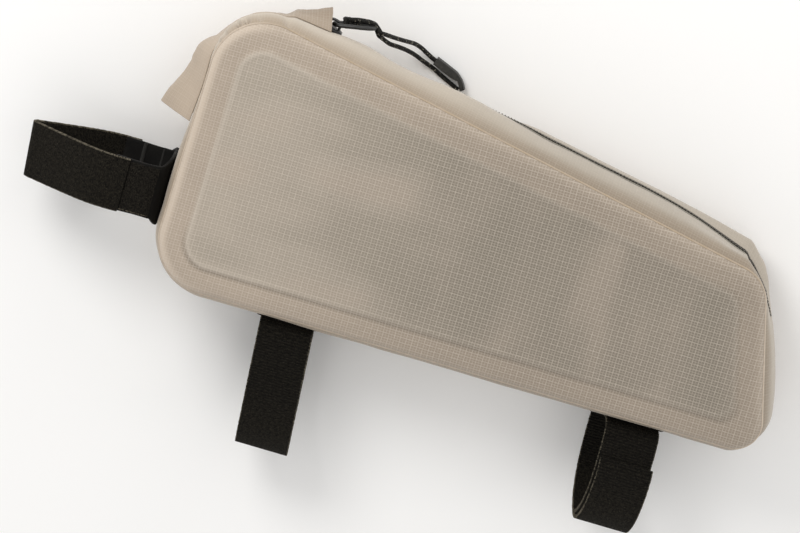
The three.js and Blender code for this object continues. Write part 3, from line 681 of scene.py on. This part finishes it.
@lru_cache(maxsize=None)
def outlinePoint(place, inset=0.0):
    # 0 base, 1 heel corner, 2 rear, 3 tail corner, 4 top, 5 front top corner, 6 front, 7 front base corner
    turned = place % 8
    stretch = int(turned)
    share = turned - stretch

    def at(k):
        return Vector(body["corners"][k % 4][:2])

    def inward(k):
        d = (at(k + 1) - at(k)).normalized()
        return Vector((-d.y, d.x))

    def corner(k):
        before, after = inward(k + 3), inward(k)
        middle = (before + after) / (1 + before.dot(after))
        radius = max(body["corners"][k % 4][2] - inset, body["leastRadius"])
        return before, after, radius, at(k) + middle * (inset + radius)
    if stretch % 2 == 0:
        k = stretch // 2
        out = -inward(k)
        a, b = corner(k), corner((k + 1) % 4)
        start, end = a[3] + out * a[2], b[3] + out * b[2]
        point = start.lerp(end, share)
        return point.x, point.y, out.x, out.y
    before, after, radius, centre = corner(((stretch + 1) // 2) % 4)
    first = math.atan2(-before.y, -before.x)
    turn = (math.atan2(-after.y, -after.x) - first) % (2 * math.pi)
    angle = first + turn * share
    return (centre.x + radius * math.cos(angle), centre.y + radius * math.sin(angle),
            math.cos(angle), math.sin(angle))


def runTable(steps=1600):
    rows = [0.0]
    before = outlinePoint(0.0)
    for k in range(1, steps + 1):
        now = outlinePoint(8.0 * k / steps if k < steps else 7.99999)
        rows.append(rows[-1] + math.hypot(now[0] - before[0], now[1] - before[1]))
        before = now
    return rows


runs = runTable()


def runAt(place):  # millimetres along the seam from the front of the base
    at = place / 8 * (len(runs) - 1)
    k = min(int(at), len(runs) - 2)
    return runs[k] + (runs[k + 1] - runs[k]) * (at - k)


def placeAt(run):
    k = min(max(bisect_left(runs, run), 1), len(runs) - 1)
    share = (run - runs[k - 1]) / max(runs[k] - runs[k - 1], 1e-9)
    return (k - 1 + share) * 8 / (len(runs) - 1)


def crownAt(place, across):
    half = min(across, 1 - across)
    level = between(flatRows, place)
    tall = between(roundRows, half) * (1 - level) + between(levelRows, half) * level
    out = body["crown"] * between(bulgeRows, place) * tall
    dip = fade(place, 4.97, 5.12) * (1 - fade(place, 5.8, 6.05))  # pulled in under the hood
    out -= 1.2 * dip * fade(half, 0.12, 0.34)
    if 2.7 < place < 4.3:
        out -= between(cutRows, place) * fade(across, 0.05, 0.3) * (1 - fade(across, 0.56, 0.72))
    if not 4.4 < place < 5.06:
        return out
    return out + between(swellRows, place) * fade(half, 0.05, 0.3) * (1 - fade(across, 0.45, 0.6))


def bandPoint(place, across, lift=0.0):
    x, y, nx, ny = outlinePoint(place)
    out = crownAt(place, across) + lift
    z = body["rimTop"] + (body["rimBottom"] - body["rimTop"]) * across
    return x + nx * out, y + ny * out, z


# Side panels

panel = {
    "rim": 47.0,  # height of the seam under the upper panel
    "steps": 440,
    "rings": 46,
    "edge": 14.0,  # how far the pressed border reaches in
    "spine": ((58, 50), (192, 36)),  # where the inner rings close
    "profile": [(0, 0), (0.5, 0.75), (1.6, 1.55), (3.5, 2.05), (6, 2.25), (8.2, 2.2), (9.2, 2.3),
                (10.4, 2.98), (11.3, 3.0), (12.4, 2.84), (14, 2.8)],
    "plain": [(0, 0), (0.5, 0.75), (1.6, 1.5), (3.5, 2.1), (6, 2.45), (9, 2.68), (11, 2.78), (14, 2.8)],
    "thickness": 1.1,
    "lowest": 1.15,  # the wall is added outward, so the lower panel then rests on the floor
}


def panelPoint(place, ring):
    reach = min(ring, panel["edge"])
    x, y, nx, ny = outlinePoint(place, reach)
    if ring > panel["edge"]:
        share = ring - panel["edge"]
        (x0, y0), (x1, y1) = panel["spine"]
        t = min(max((x - 14) / (216 - 14), 0), 1)
        x += (x0 + (x1 - x0) * t - x) * share
        y += (y0 + (y1 - y0) * t - y) * share
    ridge = 1 - 0.6 * fade(place, 3.3, 4.0) * (1 - fade(place, 4.95, 5.7))
    shaped, plain = between(panel["profile"], reach), between(panel["plain"], reach)
    rise = plain + (shaped - plain) * ridge
    calm = fade(reach, 1, 9)
    wave = noise.noise(Vector((x * 0.03, y * 0.034, 3.1)))
    ripple = noise.noise(Vector((x * 0.085, y * 0.075, 7.7)))
    rise += calm * (0.16 * wave + 0.07 * ripple - 0.05)
    pucker = noise.noise(Vector((runAt(place) * 0.16, reach * 0.12, 1.5)))
    rise += 0.16 * pucker * fade(reach, 0.2, 3) * (1 - fade(reach, 7, 12))
    return x, y, rise, reach


def makePanel(name, node, upper):
    rings = panel["rings"]
    border = 26

    def lay(u, v):
        place = placeAt(u * runs[-1])
        row = v * rings
        ring = panel["edge"] * row / border if row <= border else panel["edge"] + (row - border) / (rings - border)
        x, y, rise, reach = panelPoint(place, ring)
        z = panel["rim"] + rise
        point = toPart(x, y, z if upper else max(50 - z, panel["lowest"]), True)
        return point, (x * 0.001, y * 0.001, (reach if ring <= panel["edge"] else 20) * 0.001)
    piece = laidGrid(name, panel["steps"], rings, lay, (0, 0, 1 if upper else -1))
    work = bmesh.new()
    work.from_mesh(piece.data)
    bmesh.ops.remove_doubles(work, verts=work.verts[:], dist=0.00004)
    bmesh.ops.dissolve_degenerate(work, edges=work.edges[:], dist=0.00001)
    work.to_mesh(piece.data)
    work.free()
    thicken(piece, panel["thickness"] * 0.001, -1, even=False)
    dress(piece, ["panelCloth"], [node])
    return piece


makePanel("panelNear", "side_panel_near", True)
makePanel("panelFar", "side_panel_far", False)
print("side panels made")


# Gusset band with the zip's slot

band = {
    "columns": (150, 190, 480),  # before, along and after the zip
    "halfRows": 20,
    "slotRows": 4,
    "thickness": 1.1,
    "puckers": [  # place, spread in mm, depth
        (5.01, 1.8, 1.2), (5.3, 1.0, 0.9), (5.44, 0.9, 2.3), (5.53, 0.8, 2.1), (5.7, 1.0, 1.2), (5.8, 0.9, 1.0),
        (5.9, 1.6, 0.8), (6.1, 1.4, 0.7),
        (3.3, 3.5, 0.3), (3.7, 4.0, 0.3), (7.3, 3.5, 0.3), (1.5, 3.0, 0.35),
    ],
}


def bandWrinkle(place, across):
    run = runAt(place)
    away = min(across, 1 - across) * 41
    rise = 0.28 * noise.noise(Vector((run * 0.045, across * 2.2, 0.4)))
    rise += 0.12 * noise.noise(Vector((run * 0.14, across * 5, 5.2)))
    for at, spread, depth in band["puckers"]:
        distance = run - runAt(at) - away * 0.18
        rise -= depth * math.exp(-(distance / spread) ** 2) * math.exp(-((away - 3.2) / 3.4) ** 2)
    return rise * fade(away, 0.0, 2.5)


def makeBand():
    before, along, after = band["columns"]
    columns = before + along + after
    rows = 2 * band["halfRows"] + band["slotRows"]
    slotHalf = body["slot"] / 2 / 41
    first, last = body["zip"]

    def placeOf(u):
        k = u * columns
        if k <= before:
            return placeAt(k / before * runAt(first)) if k < before else first
        if k <= before + along:
            share = (k - before) / along
            return placeAt(runAt(first) + (runAt(last) - runAt(first)) * share) if share < 1 else last
        return placeAt(runAt(last) + (runs[-1] - runAt(last)) * (k - before - along) / after)

    def acrossOf(v):
        k = v * rows
        if k <= band["halfRows"]:
            return (0.5 - slotHalf) * (k / band["halfRows"])
        if k <= band["halfRows"] + band["slotRows"]:
            return 0.5 - slotHalf + 2 * slotHalf * (k - band["halfRows"]) / band["slotRows"]
        return 0.5 + slotHalf + (0.5 - slotHalf) * (k - band["halfRows"] - band["slotRows"]) / band["halfRows"]

    def lay(u, v):
        place, across = placeOf(u), acrossOf(v)
        lift = bandWrinkle(place, across)
        toSlot = abs(across - 0.5) * 41 - body["slot"] / 2
        if first < place < last:
            lift -= 0.75 * math.exp(-(max(toSlot, 0) / 0.7) ** 2)
        point = toPart(*bandPoint(place, across, lift), True)
        away = min(across, 1 - across) * 41
        return point, (runAt(place) * 0.001, across * 0.044, away * 0.001)

    def drop(u, v):
        inSlot = band["halfRows"] < v * rows < band["halfRows"] + band["slotRows"]
        return inSlot and before < u * columns < before + along
    piece = laidGrid("gussetBand", columns, rows, lay, (0, 0, 0), drop)
    faceOut(piece, toPart(115, 45, 25))
    thicken(piece, band["thickness"] * 0.001, -1)
    dress(piece, ["bandCloth"], ["gusset"])
    return piece


makeBand()


# Welded seams between the panels and the gusset

weld = {"radius": 0.5, "height": 46.25, "sides": 8, "out": 0.1}


def makeWeld(name, upper):
    def lay(u, v):
        place = placeAt(u * runs[-1])
        x, y, nx, ny = outlinePoint(place)
        angle = v * 2 * math.pi
        size = weld["radius"] * (1 + 0.12 * noise.noise(Vector((runAt(place) * 0.3, 0, 9))))
        side = weld["out"] + size * math.cos(angle)
        z = weld["height"] + 1.35 * size * math.sin(angle)
        brown = fade(place, 3.1, 3.9) * (1 - fade(place, 4.95, 5.5))
        return (toPart(x + nx * side, y + ny * side, z if upper else 50 - z, True),
                (runAt(place) * 0.001, v * 0.004, brown))
    piece = laidGrid(name, 440, weld["sides"], lay, (0, 0, 0))
    deselect()
    bpy.context.view_layer.objects.active = piece
    piece.select_set(True)
    bpy.ops.object.mode_set(mode="EDIT")
    bpy.ops.mesh.select_all(action="SELECT")
    bpy.ops.mesh.normals_make_consistent(inside=False)
    bpy.ops.object.mode_set(mode="OBJECT")
    dress(piece, ["seamWeld"])


makeWeld("weldNear", True)
makeWeld("weldFar", False)
print("gusset and seams made")


# Zip

zipper = {
    "depth": -0.35,  # of the tapes' upper faces under the gusset
    "tape": 0.7,
    "coil": 2.8,
    "lap": 4,
    "pitch": 1.3,
    "tooth": (0.6, 0.95, 0.8),  # along, across, tall
}


def makeTape(name, node, side):
    inner = zipper["coil"] / 2 - 0.35
    outer = body["slot"] / 2 + zipper["lap"]
    first, last = body["zip"]

    def lay(u, v):
        place = placeAt(runAt(first - 0.01) + (runAt(last + 0.01) - runAt(first - 0.01)) * u)
        away = inner + (outer - inner) * v
        across = 0.5 - side * away / 41
        lift = zipper["depth"] + bandWrinkle(place, across) * 0.6
        return toPart(*bandPoint(place, across, lift), True), (runAt(place) * 0.001, away * 0.001, 0)
    piece = laidGrid(name, 200, 4, lay, outlineNormal((first + last) / 2))
    thicken(piece, zipper["tape"] * 0.001, -1)
    dress(piece, ["zipTape"], [node])


def outlineNormal(place):
    point = outlinePoint(place)
    return (point[2], point[3], 0)


def makeTeeth():
    deselect()
    along, wide, tall = [size * 0.001 for size in zipper["tooth"]]
    bpy.ops.mesh.primitive_cube_add(size=1)
    tooth = bpy.context.active_object
    tooth.scale = (along, wide, tall)
    bpy.ops.object.transform_apply(location=False, rotation=False, scale=True)
    addModifier(tooth, "BEVEL", width=along * 0.3, segments=1)
    first, last = (runAt(place) for place in body["zip"])
    count = int((last - first) / zipper["pitch"])
    work = bmesh.new()
    source = bmesh.new()
    source.from_mesh(tooth.data)
    for k in range(2 * count):
        side = 1 if k % 2 else -1
        place = placeAt(first + (k + 0.5) * zipper["pitch"] / 2)
        across = 0.5 - side * 0.42 / 41
        point = toPart(*bandPoint(place, across, zipper["depth"] + 0.1), True)
        out = Vector(outlineNormal(place))
        run = Vector((-out.y, out.x, 0))
        made = [work.verts.new(point + run * v.co.x + Vector((0, 0, 1)) * v.co.y * side + out * v.co.z)
                for v in source.verts]
        for face in source.faces:
            work.faces.new([made[v.index] for v in face.verts])
    bmesh.ops.recalc_face_normals(work, faces=work.faces[:])
    mesh = bpy.data.meshes.new("zipTeeth")
    work.to_mesh(mesh)
    work.free()
    source.free()
    bpy.data.objects.remove(tooth)
    piece = bpy.data.objects.new("zipTeeth", mesh)
    bpy.context.scene.collection.objects.link(piece)
    dress(piece, ["zipTeeth"], ["zip_coil"], 30)


makeTape("zipTapeNear", "zip_tape_near", 1)
makeTape("zipTapeFar", "zip_tape_far", -1)
makeTeeth()


# Slider, pull tab and the cord's hitch round it

slider = {
    "place": 4.929,
    "lift": -0.3,
    "body": (8.6, 7.4, 2.6),
    "bridge": (6.2, 2.4, 3.6),
    "bridgeWall": 1.1,
    "tab": (17, 8, 1.8),
    "tabLift": 22,  # degrees
    "gap": 0.3,
}


def zipMatrix(place):  # x along the zip toward the tail, y out of the bag, z up
    out = Vector(outlineNormal(place))
    along = Vector((out.y, -out.x, 0))
    at = toPart(*bandPoint(place, 0.5, slider["lift"]), True)
    return Matrix((
        (along.x, out.x, 0, at.x),
        (along.y, out.y, 0, at.y),
        (along.z, out.z, 1, at.z),
        (0, 0, 0, 1),
    ))


def makeSlider():
    long, wide, tall = slider["body"]
    base = slider["gap"] + tall / 2
    deselect()
    bpy.ops.mesh.primitive_cube_add(size=1)
    piece = bpy.context.active_object
    piece.name = "sliderBody"
    piece.scale = (long * 0.001, tall * 0.001, wide * 0.001)
    piece.location = (0, base * 0.001, 0)
    bpy.ops.object.transform_apply(location=True, rotation=False, scale=True)
    bpy.ops.object.mode_set(mode="EDIT")
    bpy.ops.mesh.select_all(action="SELECT")
    bpy.ops.mesh.subdivide(number_cuts=3)
    bpy.ops.object.mode_set(mode="OBJECT")
    for vertex in piece.data.vertices:  # waisted toward the tail, with a domed top
        share = vertex.co.x / (long * 0.0005)
        vertex.co.z *= 1 - 0.2 * fade(share, -0.2, 1)
        if vertex.co.y > base * 0.001:
            vertex.co.y -= 0.0006 * share * share
    addModifier(piece, "BEVEL", width=0.0007, segments=3, limit_method="ANGLE")
    addModifier(piece, "SUBSURF", levels=1, render_levels=1)
    reach, thick, rise = slider["bridge"]
    top = slider["gap"] + tall
    wall = slider["bridgeWall"]
    deselect()
    bpy.ops.mesh.primitive_torus_add(major_radius=1, minor_radius=0.3, major_segments=32, minor_segments=10)
    arch = bpy.context.active_object
    for vertex in arch.data.vertices:
        x, y, z = vertex.co
        angle = math.atan2(y, x)
        off = math.hypot(x, y) - 1
        flat = math.copysign(abs(math.cos(angle)) ** 0.6, math.cos(angle))
        vertex.co = Vector((flat * (reach - wall) / 2 + off * wall * 1.7 * math.cos(angle),
                            top - 0.3 + (rise - wall * 0.5) * math.sin(angle) + off * wall * 1.7 * math.sin(angle),
                            z * thick / 0.6)) * 0.001
    bpy.ops.object.mode_set(mode="EDIT")
    bpy.ops.mesh.select_all(action="SELECT")
    bpy.ops.mesh.bisect(plane_co=(0, (top - 0.6) * 0.001, 0), plane_no=(0, 1, 0), use_fill=True, clear_inner=True)
    bpy.ops.mesh.select_all(action="SELECT")
    bpy.ops.mesh.normals_make_consistent(inside=False)
    bpy.ops.object.mode_set(mode="OBJECT")
    deselect()
    arch.select_set(True)
    piece.select_set(True)
    bpy.context.view_layer.objects.active = piece
    bpy.ops.object.join()
    piece.data.transform(zipMatrix(slider["place"]))
    dress(piece, ["blackMetal"], ["slider_body"], 40)


def tabMatrix():
    long, wide, bar = slider["tab"]
    pivot = slider["gap"] + slider["body"][2] + (slider["bridge"][2] - slider["bridgeWall"]) / 2
    lift = Matrix.Rotation(math.radians(slider["tabLift"]), 4, "Z")
    return zipMatrix(slider["place"]) @ Matrix.Translation((0, pivot * 0.001, 0)) @ lift


def makeTab():
    long, wide, bar = slider["tab"]
    deselect()
    bpy.ops.mesh.primitive_torus_add(major_radius=1, minor_radius=0.3, major_segments=56, minor_segments=12)
    piece = bpy.context.active_object
    piece.name = "pullTab"
    half = (wide - bar) / 2
    for vertex in piece.data.vertices:
        x, y, z = vertex.co
        angle = math.atan2(y, x)
        off = (math.hypot(x, y) - 1) / 0.3
        ring = Vector((math.cos(angle), math.sin(angle)))
        stretch = (long - wide) / 2 * math.copysign(1, ring.x) if abs(ring.x) > 1e-6 else 0
        thick = bar / 2 * (1.25 if ring.x > 0.6 else 1)
        vertex.co = Vector((ring.x * (half + off * thick) + stretch + long / 2 - bar / 2,
                            z / 0.3 * 0.82, ring.y * (half + off * thick))) * 0.001
    piece.data.transform(tabMatrix())
    dress(piece, ["blackMetal"], ["pull_tab"], 60)


cord = {
    "diameter": 1.7,
    "upper": [(58.7, 109.5, 25.6), (60.4, 109.2, 24), (62.6, 108.5, 21), (65.6, 107.6, 16.6),
              (68.6, 106.7, 11.6), (71.6, 105.8, 7), (74.4, 104.3, 3.6), (77, 102.6, 1.9),
               (79.6, 101.3, 1.7), (82, 100.5, 2.2)],
    "lower": [(58, 108.2, 24.4), (60, 106.9, 21.9), (62.6, 105.3, 18.6), (66.2, 104.3, 14.4),
              (69.8, 103, 9.6), (73.2, 101.3, 5.4), (76.6, 99.4, 2.6), (80, 98, 1.3), (84, 96, 1.1),
              (88, 94.2, 1.1), (91.8, 92.5, 1.1)],
    "mouth": (80.8, 101.2, 2.3),
    "turn": -22,
    "bend": 38,
    "end": (15.8, 3.3, 3.8),
}


def makeHitch():  # the cord's bight, wound round the tab's far bar and drawn through its end
    long, wide, bar = slider["tab"]
    half = (wide - bar) / 2
    local = [(16.1, -1.6, -1.2), (15.2, 0.6, -2.3), (13, 1.5, -3)]
    turns = 4
    for k in range(turns * 10 + 1):
        share = k / (turns * 10)
        angle = (1 - share) * turns * 2 * math.pi
        loose = 1 + 0.18 * math.sin(share * 9)
        local.append((10.6 - share * 7, 0.35 + 1.3 * loose * math.cos(angle), -half + 1.45 * loose * math.sin(angle)))
    local += [(5.4, 1.9, -1.5), (9, 2.2, -0.8), (12.6, 2, -0.2), (15, 1.5, 0.3), (16.4, 0, 0.4)]
    points = [toPart(*cord["lower"][0])] + [tabMatrix() @ (Vector(p) * 0.001) for p in local]
    points.append(toPart(*cord["upper"][0]))
    piece, even, run = makeTube("cordHitch", points, 240, cord["diameter"] / 2100, 3)
    dress(piece, ["cordBraid"])


makeSlider()
makeTab()
makeHitch()
print("zip, slider and tab made")


# Pull cord

def makeStrand(name, route, node):
    piece, even, run = makeTube(name, [toPart(*p) for p in route], 40, cord["diameter"] / 2000, 4)
    dress(piece, ["cordBraid"], [node])
    tuple(even[0])
    print(name, "is", round(run * 1000, 1), "mm long")


def makeCordEnd():
    long, wide, tall = cord["end"]
    deselect()
    bpy.ops.mesh.primitive_cube_add(size=1)
    piece = bpy.context.active_object
    piece.name = "cordEnd"
    bpy.ops.object.mode_set(mode="EDIT")
    bpy.ops.mesh.select_all(action="SELECT")
    bpy.ops.mesh.subdivide(number_cuts=9)
    bpy.ops.object.mode_set(mode="OBJECT")
    bend = math.radians(cord["bend"])
    for vertex in piece.data.vertices:
        along, high, deep = vertex.co.x + 0.5, vertex.co.y * 2, vertex.co.z * 2
        tip = fade(along, 0.55, 0.72)
        half = wide / 2 * (1 - 0.1 * tip - 0.1 * fade(along, 0.8, 1.0))
        x = long * along - 1.1 * (high > 0) * tip * (1 - along)
        y = half * high - 0.45 * tip * high
        if high > 0.5:
            y -= 0.35 * abs(deep)
        z = tall / 2 * deep * (1 - 0.2 * fade(along, 0.55, 1.0))
        past = max(x - long * 0.72, 0)  # the tip hangs from the folded end at a steeper slant
        x, y = x - past * (1 - math.cos(bend)) + y * math.sin(bend) * min(past / 3, 1), y - past * math.sin(bend)
        vertex.co = Vector((x, y, z)) * 0.001
    soften(piece, 0.0003, 35)
    turn = Matrix.Rotation(math.radians(cord["turn"]), 4, "Z")
    piece.data.transform(Matrix.Translation(toPart(*cord["mouth"])) @ turn)
    dress(piece, ["endPlastic"], ["cord_end"], 30)
    return piece


cordEnd = makeCordEnd()
makeStrand("cordUpper", cord["upper"], "pull_cord_upper")
makeStrand("cordLower", cord["lower"], "pull_cord_lower")


# Hood over the front top corner

hood = {
    "margin": 12,
    "rise": 11.6,
    "rear": 4.925,
    "front": 6.412,
    "rake": (5.2, -2.6),
    "flat": 1.4,
    "thickness": 0.7,
    "rows": [(4.925, 0.75), (4.965, 0.42), (5, 0.2), (5.05, 0.08), (5.1, 0.03), (5.3, 0), (5.6, 0.02),
             (5.8, 0.18), (5.86, 0.31), (5.93, 0.45), (6.03, 0.55), (6.1, 0.6), (6.15, 0.67), (6.3, 0.95),
             (6.412, 1.07)],
}


def makeHood():
    edge = hood["margin"] / 41

    def lay(u, v):
        run = runAt(hood["rear"]) + (runAt(hood["front"]) - runAt(hood["rear"])) * u
        place = placeAt(run)
        rise = hood["rise"] * between(hood["rows"], place)
        nx, ny = outlinePoint(place)[2:]
        rake = hood["rake"][place > 5.5] * rise / hood["rise"]
        across = edge + (1 - 2 * edge) * v
        tent = 1 - abs(2 * v - 1) ** hood["flat"]
        crease = 0.25 * noise.noise(Vector((run * 0.35, v * 3, 2.2)))
        crease += 0.35 * noise.noise(Vector((run * 0.06, v * 6, 8)))
        x, y, z = bandPoint(place, across, 0.25 + rise * tent + crease * fade(min(v, 1 - v), 0, 0.15))
        point = toPart(x - ny * rake * tent, y + nx * rake * tent, z, True)
        return point, (run * 0.001, v * 0.034, min(v, 1 - v) * 0.01)
    piece = laidGrid("hoodFlap", 110, 30, lay, outlineNormal(5.6))
    thicken(piece, hood["thickness"] * 0.001, 0)
    soften(piece, 0.00025)
    dress(piece, ["hoodCloth"], ["hood"])


makeHood()
print("cord and hood made")


# Straps

strap = {
    "width": 20.5,
    "thickness": 1.5,
    "low": 20.5,
    "reach": 54,
    "flare": (0.9, 2.6),  # how much further its lower and upper edges reach
    "wing": 20,
    "wingHalf": 17.5,
    "sheet": 1.3,
    "hookStart": 3,
    "hookLength": 11,
    "loopHalf": 16.5,
}
wingRows = [(0, 0, 3), (0, 0.5, 3), (0.03, 0.76, 2), (0.13, 0.93, 0), (0.5, 1, 0), (1, 1, 0)]  # ahead, across, taller
noseRows = [(0, 1), (0.13, 1), (0.26, 0.96), (0.42, 0.82), (0.6, 0.6), (0.78, 0.36), (0.9, 0.19),
            (0.98, 0.08), (1, 0)]  # ahead, across
loopRows = [(0, 0), (0, 0.35), (0.006, 0.66), (0.06, 0.92), (0.3, 1), (0.62, 0.93), (0.87, 0.6), (1, 0.05),
            (0.87, -0.6), (0.62, -0.93), (0.3, -1), (0.06, -0.92), (0.006, -0.66), (0, -0.35)]  # down, across
baseLoops = [
    {"name": "middleStrap", "node": "middle_strap", "along": 0.23, "drop": 51.2, "skew": 0.5, "lean": 3.5, "lap": 0.3,
     "start": 0.6, "aside": 0},
    {"name": "rearStrap", "node": "rear_strap", "along": 0.787, "drop": 41, "skew": 3, "lean": 0.5, "lap": 0.26,
     "start": 0.22, "aside": 0.8},
]


def faceX():
    return bandPoint(6.75, 0.5)[0] - 0.3 - 0.7


def finishStrap(piece, node):
    thicken(piece, strap["thickness"] * 0.001, 0, inner=1, rim=2)
    for look in ("strapPile", "strapBack", "strapRim"):
        piece.data.materials.append(materials[look])
    soften(piece, 0.0003)
    dress(piece, [], [node])


def frayed(run, v, amount):  # small unevenness of a strap's cut edges
    edge = fade(abs(2 * v - 1), 0.8, 1.0)
    return amount * edge * noise.noise(Vector((run * 0.9, v * 4, 3.3)))


def makeFrontBase():
    face = faceX()
    half = [Vector((face - a * strap["wing"], c * strap["wingHalf"])) for a, c, _ in wingRows]
    points = [Vector((p.x, -p.y)) for p in reversed(half[1:])] + half
    path, run = curveThrough(points, 161)

    def lay(u, v):
        point = path[round(u * 160)]
        ahead = (face - point.x) / strap["wing"]
        taller = between([(0, 3), (0.03, 2), (0.13, 0), (1, 0)], min(max(ahead, 0), 1))
        low, high = strap["low"] - taller, strap["low"] + strap["width"] + taller
        y = low + (high - low) * v
        return toPart(point.x, y, 25 + point.y), (u * run * 0.001, v * 0.0205, 0)
    piece = laidGrid("frontBase", 160, 14, lay, (-1, 0, 0))
    thicken(piece, strap["sheet"] * 0.001, 0, rim=1)
    piece.data.materials.append(materials["smoothBase"])
    piece.data.materials.append(materials["strapRim"])
    soften(piece, 0.00025)
    dress(piece, [], ["front_strap_base"])


def makeHookPatch(name, node, side):
    face = faceX()
    lift = (strap["sheet"] + 0.8) / 2 + 0.3
    rows = [(a, c) for a, c, _ in wingRows[2:]]

    def lay(u, v):
        ahead = strap["hookStart"] + u * strap["hookLength"]
        across = between(rows, ahead / strap["wing"]) * strap["wingHalf"] + lift
        y = strap["low"] + 1 + (strap["width"] - 2) * v
        return toPart(face - ahead, y, 25 + side * across), (u * 0.011, v * 0.0185, 0)
    piece = laidGrid(name, 24, 30, lay, (0, 0, side))
    thicken(piece, 0.0008, 0)
    dress(piece, ["hookTape"], [node])


def makeFrontStrap():
    start = faceX() - strap["hookStart"] - strap["hookLength"] - 0.3
    length = start + strap["reach"]
    depth = strap["wingHalf"] + strap["sheet"] / 2 + 0.35 + strap["thickness"] / 2
    half = [Vector((start - a * length, c * depth)) for a, c in noseRows]
    points = half + [Vector((p.x, -p.y)) for p in reversed(half[:-1])]
    path, run = curveThrough(points, 241)

    def lay(u, v):
        k = round(u * 240)
        point = path[k]
        y = strap["low"] + strap["width"] * v + frayed(u * run, v, 0.1)
        ahead = min(max((start - point.x) / length, 0), 1)
        low, high = strap["flare"]
        y -= 0.9 * ahead * (1 - v)
        return toPart(point.x - ahead * (low + (high - low) * v), y, 25 + point.y), (u * run * 0.001, v * 0.0205, 0)
    piece = laidGrid("frontStrap", 240, 14, lay, (-1, 0, 0))
    finishStrap(piece, "front_strap")


def loopPath(row, steps):
    top = bandPoint(row["along"], 0.5)[1] - 0.3 - 0.8
    points = [Vector((top - d * row["drop"], c * strap["loopHalf"])) for d, c in loopRows]
    ring, run = curveThrough(points, 721, closed=True)
    path = []
    layers = []
    turns = 1 + row["lap"]
    for k in range(steps + 1):
        phase = row["start"] + turns * k / steps
        at = int(round((phase % 1) * 720)) % 720
        point = ring[at]
        d = (ring[(at + 1) % 720] - ring[at - 1]).normalized()
        layer = 1 - fade(phase, row["start"] + row["lap"], row["start"] + 0.66)
        out = layer * (1.1 + 0.8 * fade(phase, row["start"], row["start"] + 0.03))
        path.append(Vector((point.x + d.y * out, point.y - d.x * out)))
        layers.append(layer)
    return path, layers, run * turns, top


def makeLoop(row):
    steps = 300
    path, layers, run, top = loopPath(row, steps)
    x = row["along"] * 238

    def lay(u, v):
        k = round(u * steps)
        point = path[k]
        drop = (top - point.x) / row["drop"]
        side = (v - 0.5) * strap["width"] + frayed(u * run, v, 0.1)
        shift = row["skew"] * point.y / strap["loopHalf"] + row["lean"] * drop + row["aside"] * layers[k]
        ribbed = 0.9 * (1 - fade(drop, 0.45, 0.85))
        return toPart(x + side + shift, point.x, 25 + point.y), (u * run * 0.001, v * 0.0205, ribbed)
    piece = laidGrid(row["name"], steps, 14, lay, (0, 0, 0))
    faceOut(piece, toPart(x, top - row["drop"] / 2, 25))
    finishStrap(piece, row["node"])


def makeAnchor(row):
    x = row["along"] * 238
    face = bandPoint(row["along"], 0.5)[1] - 0.3
    low = face - 1.6 - 0.3
    inside = strap["width"] / 2 + abs(row["skew"]) + 0.6
    outside = inside + 5
    points = [Vector(p) for p in ((-outside, face - 0.5), (-inside - 2.2, face - 0.5), (-inside, low - 0.5),
                                  (-inside + 3, low - 0.5), (inside - 3, low - 0.5), (inside, low - 0.5),
                                  (inside + 2.2, face - 0.5), (outside, face - 0.5))]
    path, run = curveThrough(points, 81)

    def lay(u, v):
        point = path[round(u * 80)]
        return toPart(x + point.x, point.y, 11 + 16 * v), (u * run * 0.001, v * 0.016, 0)
    piece = laidGrid(row["name"] + "Anchor", 80, 16, lay, (0, -1, 0))
    thicken(piece, 0.0009, 0)
    soften(piece, 0.0002)
    dress(piece, ["anchorCloth"], [row["node"] + "_anchor"])


def makeWingSeams():  # two stitched ridges inside the far wing
    face = faceX()
    for k, ahead in enumerate((5.2, 12.5)):
        def lay(u, v):
            z = 25 - strap["wingHalf"] + strap["sheet"] / 2 + 0.15 + 0.35 * math.sin(math.pi * u)
            y = strap["low"] + 0.4 + (strap["width"] - 0.8) * v
            wave = 0.15 * noise.noise(Vector((v * 9, k, 0)))
            return toPart(face - ahead + (u - 0.5) * 1.5 + wave, y, z), (u * 0.0015, v * 0.02, 0)
        piece = laidGrid("wingSeam" + str(k), 6, 40, lay, (0, 0, 1))
        thicken(piece, 0.0004, -1)
        dress(piece, ["baseStitch"])


makeFrontBase()
makeWingSeams()
makeHookPatch("frontHookNear", "front_hook_near", 1)
makeHookPatch("frontHookFar", "front_hook_far", -1)
makeFrontStrap()
for row in baseLoops:
    makeLoop(row)
    makeAnchor(row)
print("straps made")


# Floor

def layFloor():
    deselect()
    bpy.ops.mesh.primitive_plane_add(size=14)
    floor = bpy.context.active_object
    floor.name = "floor"
    floor.location.z = -0.0002
    material, tree, shader = newMaterial("floor", {"Roughness": 0.9, "Specular IOR Level": 0.2})
    grain = cloudy(tree, objectPlace(tree), 3)
    tree.links.new(mix(tree, grain, (0.93, 0.93, 0.93, 1), (0.95, 0.95, 0.95, 1)), shader.inputs["Base Color"])
    floor.data.materials.append(material)


layFloor()
